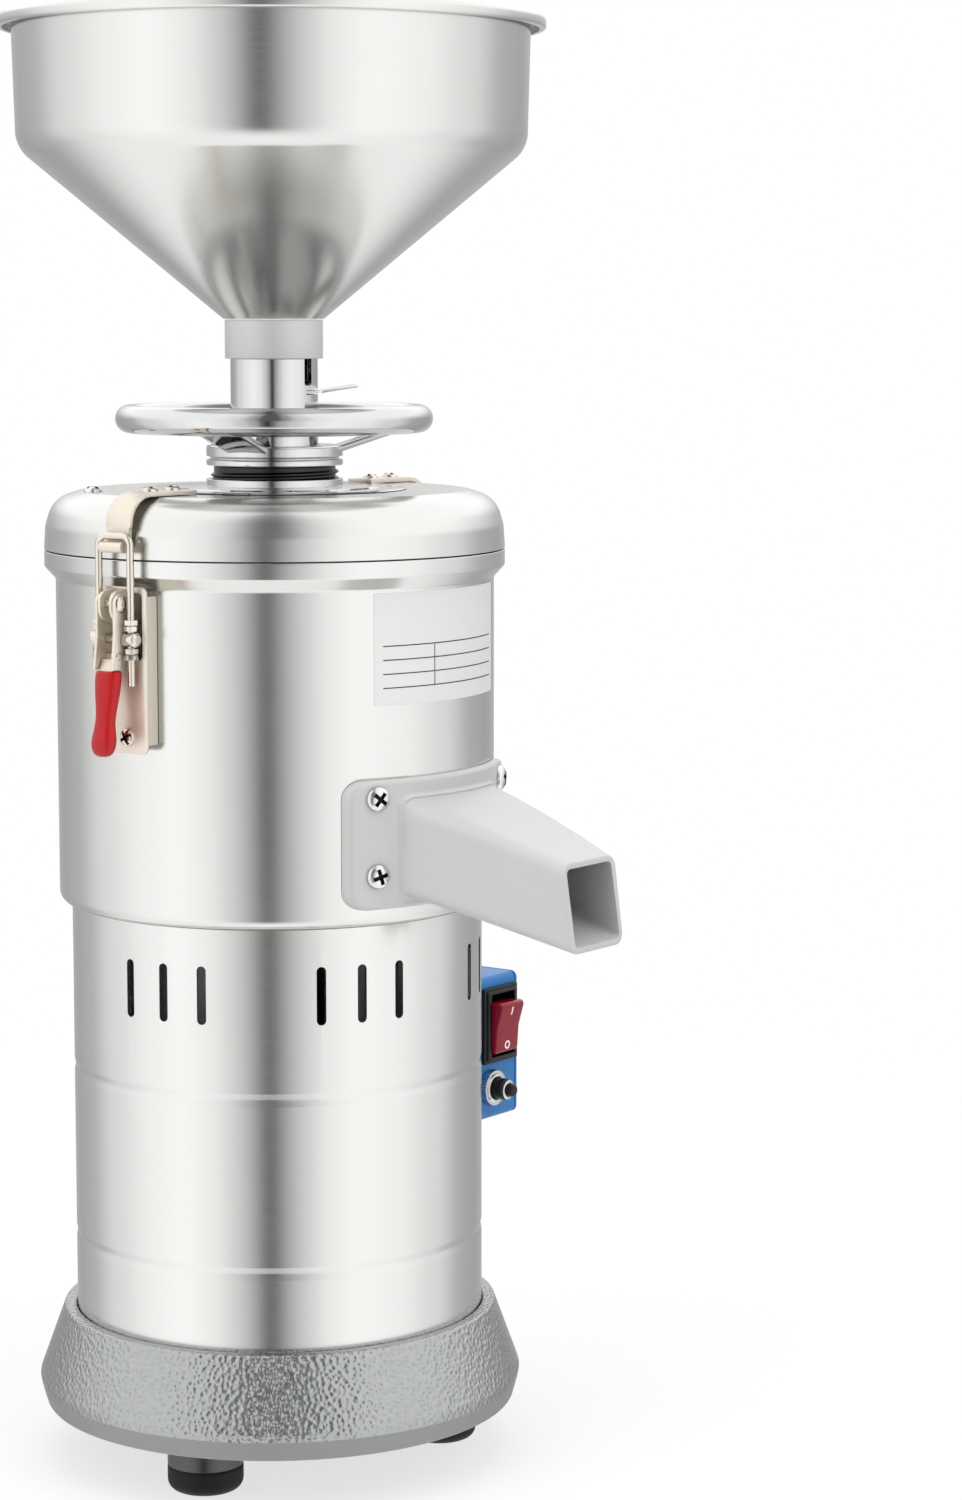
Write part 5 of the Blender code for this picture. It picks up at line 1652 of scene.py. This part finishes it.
@dataclass
class ControlBox(SubAssembly):
    """The folded blue box with its cover, the rocker switch, the reset button and the gland."""

    x: tuple[float, float] = (90.0, 137.4)
    half_y: float = 36.0
    z: tuple[float, float] = (112.0, 182.0)
    wall: float = 2.5
    back: float = 97.5
    cover: float = 1.9
    seam: float = 0.8
    shell: float = 94.3
    switch_x: tuple[float, float] = (110.0, 137.0)
    switch_z: tuple[float, float] = (140.0, 177.0)
    switch_face: float = -39.5
    rocker: Point = (123.5, -35.0, 158.5)
    rocker_half: float = 9.0
    rocker_end: tuple[float, float] = (9.0, 13.5)
    rocker_dish: float = 7.6
    rocker_tilt: float = 10.0
    sign: float = 8.6
    reset: tuple[float, float] = (117.0, 128.0)
    gland: tuple[float, float] = (118.0, 130.0)

    def build(self) -> list[Object]:
        """Builds the box and all that is set in its walls.

        Returns:
            The box's nine pieces.
        """
        return [
            self.box(), self.lid(), self.switch_housing(), self.rocker_key(), *self.signs(),
            self.reset_nut(), self.reset_button(), self.button_ring(), self.cable_gland(),
        ]

    def box(self) -> Object:
        """Folds the box with round long edges and cuts its windows.

        Returns:
            The box.
        """
        low_z, high_z = self.z
        y = self.half_y
        long = block((self.x[0], -y, low_z), (self.x[1], y, high_z))
        soften(long, 3.2, 5, 40, runs_along_x)
        t = self.wall
        inside = block((self.back, t - y, low_z + t), (self.x[1] + 5, y - t, high_z - t), 1.5)
        seat = lathe([(0, 200), (self.shell, 200), (self.shell, 100), (0, 100)], closed=False)
        front = block(
            (self.switch_x[0] + 2, -45, self.switch_z[0] + 2),
            (self.switch_x[1] - 2, -30, self.switch_z[1] - 2),
        )
        wires = rod((90, 0, 150), (100, 0, 150), 6)
        button = rod((self.reset[0], -45, self.reset[1]), (self.reset[0], -30, self.reset[1]), 5.6)
        cable = rod((self.gland[0], 30, self.gland[1]), (self.gland[0], 45, self.gland[1]), 7)
        cut = pierced(long, inside, seat, front, wires, button, cable)
        return piece(cut, "folded_control_box", BLUE_POWDER_COAT, Body.MACHINE, "control_box")

    def lid(self) -> Object:
        """Makes the box's cover, which stands off it by a thin dark seam.

        Returns:
            The cover.
        """
        start = self.x[1] + self.seam
        plate = block((start, -self.half_y, self.z[0]), (start + self.cover, self.half_y, self.z[1]))
        soften(plate, 3.2, 5, 40, runs_along_x)
        soften(plate, 0.9, 3, 50)
        return piece(plate, "control_box_end_plate", BLUE_POWDER_COAT, Body.MACHINE, "control_box_cover")

    def switch_housing(self) -> Object:
        """Makes the switch's stepped bezel, its body and the well of the rocker.

        Returns:
            The housing.
        """
        x0, x1 = self.switch_x
        z0, z1 = self.switch_z
        face = self.switch_face
        plate = block((x0, face + 1.2, z0), (x1, -self.half_y - 0.1, z1), 0.6, 2)
        step = block((x0 + 1.6, face, z0 + 1.6), (x1 - 1.6, face + 2.2, z1 - 1.6), 0.7, 3)
        body = block((x0 + 2.4, face + 2, z0 + 2.4), (x1 - 2.4, -16, z1 - 2.4), 0.5, 2)
        cx, _, cz = self.rocker
        half = self.rocker_half + 0.5
        well = block((cx - half, face - 5, cz - 15.4), (cx + half, -22, cz + 15.4), 0.6, 2)
        whole = pierced(plate, step, body, joins=True)
        whole = pierced(whole, well)
        return piece(whole, "stepped_switch_housing", BLACK_ABS, Body.MACHINE, "switch_housing")

    def rocker_place(self) -> Matrix:
        """Gives the matrix that seats what is built round the rocker's pivot."""
        return shift(*self.rocker) @ turn(self.rocker_tilt, "X")

    def rocker_key(self) -> Object:
        """Makes the rocker with its slightly dished face and soft edges.

        Returns:
            The rocker.
        """
        half = self.rocker_half
        out, end = self.rocker_end
        corners = [(-out, end, 2.2), (-self.rocker_dish, 0, 14), (-out, -end, 2.2), (4, -10), (4, 10)]
        key = moved(slab(corners, -half, half), turn(90))
        soften(key, 0.7, 3, 40)
        made = moved(key, self.rocker_place())
        return piece(made, "clear_rocker", CLEAR_RED, Body.ROCKER, "switch_rocker")

    def signs(self) -> Iterable[Object]:
        """Prints the stroke above and the ring below, flush with the rocker's faces.

        Returns:
            The stroke, then the ring.
        """
        out, end = self.rocker_end
        dip = out - self.rocker_dish
        slope = math.degrees(math.atan2(dip, end))
        face = -self.rocker_dish - dip * self.sign / end + 0.05
        stroke = block((-0.55, -0.12, -2.1), (0.55, 0.1, 2.1), 0.1, 1)
        stroke = moved(stroke, turn(slope, "X"), shift(0, face, self.sign), self.rocker_place())
        yield piece(stroke, "switch_on_stroke", WHITE_INK, Body.ROCKER)
        ring = lathe([(1.25, 0.1), (2.1, 0.1), (2.1, -0.12), (1.25, -0.12)], Facets.KNOB)
        ring = moved(ring, turn(90 - slope, "X"), shift(0, face, -self.sign), self.rocker_place())
        yield piece(ring, "switch_off_ring", WHITE_INK, Body.ROCKER)

    def at_reset(self) -> Matrix:
        """Lays what is built upright out of the box's front, on the reset button's axis."""
        return shift(self.reset[0], -self.half_y, self.reset[1]) @ turn(90, "X")

    def reset_nut(self) -> Object:
        """Makes the knurled ring nut with a turned face.

        Returns:
            The nut.
        """
        knurled = bmesh.new()
        rim = bmesh.ops.create_circle(knurled, cap_ends=True, radius=8.8 * MM, segments=72)["verts"]
        for vert in rim[::2]:
            vert.co *= 0.935
        bmesh.ops.translate(knurled, vec=(0, 0, 0.3 * MM), verts=knurled.verts)
        weld(extruded(knurled, knurled.faces[:], (0, 0, 3.4 * MM)))
        collar = lathe(
            [(5.6, 5, 0.3), (7.0, 5, 0.5), (7.4, 3.6, 0.3), (7.4, 3.0), (5.6, 3.0)], Facets.KNOB
        )
        hole = rod((0, 0, -1), (0, 0, 6), 5.6, Facets.KNOB)
        nut = pierced(pierced(knurled, collar, joins=True), hole)
        return piece(
            moved(nut, self.at_reset()), "knurled_reset_nut", BRIGHT_CHROME, Body.MACHINE,
            "reset_nut", crease=20,
        )

    def reset_button(self) -> Object:
        """Turns the button with its shoulder and round glossy tip.

        Returns:
            The button.
        """
        corners = [
            (0, 15), (3.2, 15, 1.6), (3.2, 11.4, 0.4), (3.9, 10.8, 0.4), (5.2, 10, 0.8), (5.2, -8, 0.4),
            (0, -8),
        ]
        made = moved(lathe(corners, Facets.KNOB, closed=False), self.at_reset())
        return piece(made, "round_reset_button", BLACK_ABS, Body.RESET, "reset_button")

    def button_ring(self) -> Object:
        """Turns the thin bright ring that sits on the button's shoulder."""
        ring = lathe([(3.3, 11.9, 0.3), (4.7, 11.6, 0.4), (4.7, 10.9, 0.3), (3.3, 10.9)], Facets.KNOB)
        return piece(moved(ring, self.at_reset()), "bright_button_ring", BRIGHT_CHROME, Body.RESET)

    def cable_gland(self) -> Object:
        """Turns the dome-nut gland with its hexagon, open for a lead.

        Returns:
            The gland.
        """
        corners = [(3.6, 16, 0.4), (6, 16, 1.8), (8.6, 9, 1.5), (8.6, 4), (6.6, 4), (6.6, -7), (3.6, -7)]
        dome = lathe(corners, Facets.KNOB)
        nut = soften(moved(hexagon(9.6, 4.7), shift(0, 0, 2.65)), 0.4, 2, 50)
        bore = rod((0, 0, -8), (0, 0, 17), 3.6, Facets.KNOB)
        whole = pierced(pierced(dome, nut, joins=True), bore)
        place = shift(self.gland[0], self.half_y, self.gland[1]) @ turn(-90, "X")
        return piece(moved(whole, place), "dome_nut_gland", BLACK_ABS, Body.MACHINE, "cable_gland")


@dataclass
class Latch(SubAssembly):
    """One over-centre latch: built at +X and turned to its side."""

    side: Side
    pivot: tuple[float, float] = (111.8, 376.0)
    trunnion: tuple[float, float] = (109.5, 360.5)
    plate_out: float = 106.0
    plate_thick: float = 1.4
    plate_half: float = 14.5
    plate_z: tuple[float, float] = (310.5, 383.0)
    window_z: tuple[float, float] = (351.5, 380.5)
    ear: tuple[float, float] = (2.5, 4.0)
    cheek: tuple[float, float] = (4.3, 5.8)
    wire: float = 1.75
    pitch: float = 1.1
    turns: int = 27
    bail_half: float = 9.0
    bail_z: tuple[float, float] = (340.5, 405.0)
    strap_half: float = 6.9
    strap_thick: float = 2.0
    strap_start: float = 62.5
    strap_out: float = 105.2
    lid_top: float = 421.3
    ledge: tuple[float, float] = (113.0, 402.6)
    tongue_half: float = 6.3

    def build(self) -> list[Object]:
        """Builds the fixed pieces, the lever with its grip, and the bail with its nuts.

        Returns:
            The latch's pieces.
        """
        return [
            self.channel(), self.pivot_pin(), self.strap(), *self.screws(), self.lever(), self.rivets(),
            self.grip(), self.trunnion_bar(), self.bail(), self.nuts(),
        ]

    def dress(
        self, bm: BMesh, name: str, finish: Finish, part: str, node: str = "", crease: float = 32
    ) -> Object:
        """Turns a shape to this latch's side and makes it a piece of one of its parts.

        Args:
            bm: the shape, built at +X.
            name: the piece's name without its side.
            finish: what it is made of.
            part: "fixed", "lever" or "bail".
            node: the node that it stands for, without its side.
            crease: the angle in degrees past which an edge stays sharp.

        Returns:
            The piece.
        """
        word = self.side.word
        body = Body.MACHINE if part == "fixed" else f"latch_{part}_{word}"
        nodes = [f"{node}_{word}"] if node else []
        return piece(
            moved(bm, turn(self.side.value)), f"{name}_{word}", finish, body, *nodes, crease=crease
        )

    def channel(self) -> Object:
        """Presses the base channel: flanges, two ears and the windows that they were bent from.

        Returns:
            The channel.
        """
        low, high = self.plate_z
        half = self.plate_half
        face = self.plate_out
        thick = self.plate_thick
        corners = [(-half, low, 3), (half, low, 3), (half, high, 3), (-half, high, 3)]
        base = moved(slab(corners, -face, -face + thick, 0.35), turn(90))
        out, z = self.pivot
        ear = [
            (face - 0.5, z - 10), (out + 4.5, z - 6.5, 5.5), (out + 4.5, z + 5, 4.5),
            (face - 0.5, z + 6.5),
        ]
        extras = []
        for flange, cheek in zip(both_sides(half - thick, half), both_sides(*self.ear)):
            extras.append(block((98.9, flange[0], low + 4), (face - 0.5, flange[1], high - 4)))
            extras.append(slab(ear, *cheek, 0.25))
        whole = pierced(base, *extras, joins=True)
        tools = [rod((out, -12, z), (out, 12, z), 2.1)]
        low, high = self.window_z
        for y0, y1 in both_sides(self.ear[1] + 0.6, half - 2.2):
            window = [(y0, low, 2), (y1, low, 2), (y1, high, 2), (y0, high, 2)]
            tools.append(moved(slab(window, -face - 2, -face + thick + 2), turn(90)))
        return self.dress(pierced(whole, *tools), "pressed_channel", SATIN_ZINC, "fixed", "latch_base")

    def pivot_pin(self) -> Object:
        """Turns the lever's pivot with two domed rivet heads.

        Returns:
            The pin.
        """
        out, z = self.pivot
        inner = self.cheek[1] + 0.15
        half = [(3.8, inner), (3.4, inner + 0.6, 0.5), (1.6, inner + 1.1, 1), (0, inner + 1.15)]
        corners = half[::-1] + [(2.0, inner), (2.0, -inner)] + [(r, -h, *rest) for r, h, *rest in half]
        pin = lathe(corners, Facets.SCREW, closed=False, segments=3)
        pin = moved(pin, turn(90, "X"), shift(out, 0, z))
        return self.dress(pin, "riveted_pivot", BRIGHT_ZINC, "fixed", "latch_pivot")

    def strap(self) -> Object:
        """Bends the strap over the lid's edge, and rolls its tongue into the hook.

        Returns:
            The strap.
        """
        top = self.lid_top
        out = self.strap_out
        thick = self.strap_thick
        end, ledge = self.ledge
        roll = 2.4
        bend = 12
        corners = [
            (self.strap_start, top, 0.4), (out, top, bend), (out, ledge - thick - 1.2, 1.2),
            (end - 2.2 * roll, ledge - thick - 1.2, 0.5), (end - 2.0 * roll, ledge - 2 * roll, 1.5),
            (end, ledge - 2 * roll, roll), (end, ledge, roll), (out + thick, ledge, 0.8),
            (out + thick, top + thick, bend + thick), (self.strap_start, top + thick, 0.4),
        ]
        strip = slab(corners, -self.strap_half, self.strap_half, 0.3)
        sides = [
            block((100, y0, 390), (120, y1, 409), 1.2) for y0, y1 in both_sides(self.tongue_half, 20)
        ]
        return self.dress(pierced(strip, *sides), "bent_lid_strap", SATIN_ZINC, "fixed", "lid_strap")

    def screws(self) -> Iterable[Object]:
        """Screws the strap to the lid and the channel's lower end to the housing.

        Returns:
            The strap's two screws as one piece, then the channel's screw.
        """
        rest = self.lid_top + self.strap_thick
        heads = [
            moved(pan_head(3.6, 2.0), turn(20 + 40 * index), shift(place, 0, rest))
            for index, place in enumerate((71, 86))
        ]
        yield self.dress(joined(*heads), "strap_screws", BRIGHT_ZINC, "fixed")
        foot = moved(pan_head(4.1, 2.2), turn(30), turn(90, "Y"), shift(self.plate_out, 3.4, 317.5))
        yield self.dress(foot, "channel_screw", BRIGHT_ZINC, "fixed")

    def lever(self) -> Object:
        """Presses the lever: a channel open to the front, and the tang in the grip.

        Returns:
            The lever.
        """
        out, z = self.pivot
        low_out, low_z = self.trunnion
        inner, outer = self.cheek
        outline = [
            (out - 4.2, z + 4.2, 3.9), (out + 4.4, z + 4.2, 3.9), (out + 4.4, 362, 6), (118, 347.5),
            (110.5, 347.5, 1), (low_out - 3.1, low_z - 4, 3), (low_out - 3.1, low_z + 5, 3),
        ]
        right, left = slab(outline, inner, outer, 0.3), slab(outline, -outer, -inner, 0.3)
        web = slab([(109.6, 354), (110.4, 354), (111.0, 350), (110.2, 350)], 0.5 - outer, outer - 0.5)
        tang = slab([(111.3, 349), (113.8, 352), (116.2, 347), (118.6, 324), (116.6, 324)], -3.6, 3.6)
        whole = pierced(right, left, web, tang, joins=True)
        holes = [rod((x, -12, h), (x, 12, h), 2.1) for x, h in (self.pivot, self.trunnion)]
        return self.dress(pierced(whole, *holes), "pressed_lever", SATIN_ZINC, "lever", "latch_lever")

    def rivets(self) -> Object:
        """Sets the small rivets that hold the tang between the cheeks.

        Returns:
            Both rivets, as one piece.
        """
        heads = []
        for way in (-1, 1):
            head = lathe(
                [(0, 0.8), (1.2, 0.7, 0.4), (1.7, 0, 0.1), (0, -0.5)], Facets.SCREW, closed=False
            )
            heads.append(moved(head, turn(-90 * way, "X"), shift(114.2, way * self.cheek[1], 353.5)))
        return self.dress(joined(*heads), "lever_rivets", BRIGHT_ZINC, "lever")

    def grip(self) -> Object:
        """Dips the grip: a sleeve with a waist, a full lower half and a round tip.

        Returns:
            The grip.
        """
        rings = [
            (347.2, 113.9, 4.3, 6.1), (346.5, 113.95, 4.6, 6.5), (343, 114.35, 4.8, 6.8),
            (336, 115.1, 4.4, 6.2), (329, 116.0, 3.7, 5.0), (323.5, 116.8, 3.7, 4.9),
            (317.8, 117.5, 4.7, 6.4), (313.6, 118.0, 4.5, 6.2), (310.8, 118.2, 3.3, 4.6),
            (309.9, 118.3, 1.5, 2.0),
        ]
        loops = []
        for height, out, deep, wide in rings:
            loop = bmesh.new()
            made = bmesh.ops.create_circle(loop, cap_ends=False, radius=MM, segments=16)["verts"]
            bmesh.ops.scale(loop, vec=(deep, wide, 1), verts=made)
            bmesh.ops.translate(loop, vec=Vector((out, 0, height)) * MM, verts=made)
            loops.append(loop)
        sleeve = loft(loops)
        made = self.dress(sleeve, "dipped_grip", DIPPED_VINYL, "lever", "latch_grip", crease=60)
        smooth = made.modifiers.new("smooth", "SUBSURF")
        smooth.levels = 2
        smooth.render_levels = 2
        return made

    def trunnion_bar(self) -> Object:
        """Turns the cross bar with thick round ends for the bail's legs.

        Returns:
            The cross bar.
        """
        corners = [
            (0, 13), (2.1, 13, 0.7), (3.4, 11.9, 0.8), (3.4, 6.2, 0.4), (1.95, 6.2), (1.95, -6.2),
            (3.4, -6.2, 0.4), (3.4, -11.9, 0.8), (2.1, -13, 0.7), (0, -13),
        ]
        bar = lathe(corners, Facets.KNOB, closed=False, segments=3)
        out, z = self.trunnion
        bar = moved(bar, turn(90, "X"), shift(out, 0, z))
        legs = [
            rod((out, way * self.bail_half, z - 8), (out, way * self.bail_half, z + 8), self.wire + 0.15)
            for way in (-1, 1)
        ]
        return self.dress(pierced(bar, *legs), "turned_trunnion", BRIGHT_ZINC, "bail", "latch_trunnion")

    def bail(self) -> Object:
        """Bends the bail from wire, with rolled threads on its two legs.

        Returns:
            The bail with its threads.
        """
        half = self.bail_half
        low, high = self.bail_z
        path = wire_outline(
            [(-half, low), (-half, high, 4), (half, high, 4), (half, low)], closed=False, segments=8
        )
        ordered = sorted(path.verts, key=lambda v: (round(v.co.x, 5), v.co.z if v.co.x < 0 else -v.co.z))
        points = [(self.trunnion[0], v.co.x / MM, v.co.z / MM) for v in ordered]
        path.free()
        wire = bent_wire(points, self.wire - 0.1, 20)
        root = self.wire - 0.22
        tooth = [(root, -0.45), (self.wire, 0), (root, 0.45)]
        threads = [
            moved(wound(tooth, low + 1, self.pitch, self.turns, 16), shift(self.trunnion[0], side, 0))
            for side in (-half, half)
        ]
        return self.dress(joined(wire, *threads), "threaded_bail", BRIGHT_ZINC, "bail", "latch_bail")

    def nuts(self) -> Object:
        """Locks each leg with two thin nuts above the cross bar and two below.

        Returns:
            The eight nuts, as one piece.
        """
        out, z = self.trunnion
        made = [
            moved(soften(hexagon(3.3, 2.3), 0.25, 2, 50), turn(13 * index), shift(out, side, z + height))
            for side in (-self.bail_half, self.bail_half)
            for index, height in enumerate((4.9, 7.5, -4.9, -7.5))
        ]
        return self.dress(joined(*made), "bail_nuts", BRIGHT_ZINC, "bail")


@dataclass
class InnerWorks(SubAssembly):
    """The motor and the grinding parts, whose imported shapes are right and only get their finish."""

    nodes: tuple[tuple[str, Finish], ...] = (
        ("lower_end_bracket", SATIN_CASTING), ("upper_end_bracket", SATIN_CASTING),
        ("lower_bearing", GROUND_TOOL_STEEL), ("upper_bearing", GROUND_TOOL_STEEL),
        ("stator_core", STACKED_IRON), ("rotor_core", STACKED_IRON), ("lower_windings", VARNISHED_COPPER),
        ("upper_windings", VARNISHED_COPPER), ("shaft", GROUND_TOOL_STEEL), ("cooling_fan", BLACK_ABS),
        ("chamber_floor", SPUN_STAINLESS), ("shaft_seal", MOULDED_RUBBER),
        ("lid_gasket", PRESSED_SILICONE), ("paste_sweeper", SPUN_STAINLESS),
        ("lower_grinding_disc", GROUND_TOOL_STEEL), ("upper_grinding_disc", GROUND_TOOL_STEEL),
        ("disc_nut", SPUN_STAINLESS), ("run_capacitor", GREY_CAN),
    )

    def build(self) -> list[Object]:
        """Gives each inner node its finish.

        Returns:
            The nodes.
        """
        made = []
        for name, finish in self.nodes:
            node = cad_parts[name]
            if not node.material_slots:
                node.data.materials.append(None)
            for slot in node.material_slots:
                slot.material = finish.material()
            made.append(node)
        return made


def main() -> None:
    """Builds the whole scene, sub-assembly by sub-assembly."""
    groups: list[SubAssembly] = [
        Studio(), Base(), MotorShell(), GrindingHousing(), Lid(), Adjuster(), Feed(), Spout(),
        ControlBox(), Latch(Side.LEFT), Latch(Side.RIGHT), InnerWorks(),
    ]
    for group in groups:
        for made in group.build():
            LOG.info("%s: %s", type(group).__name__, made.name)


if __name__ == "__main__":
    logging.basicConfig(level=logging.INFO)
    main()
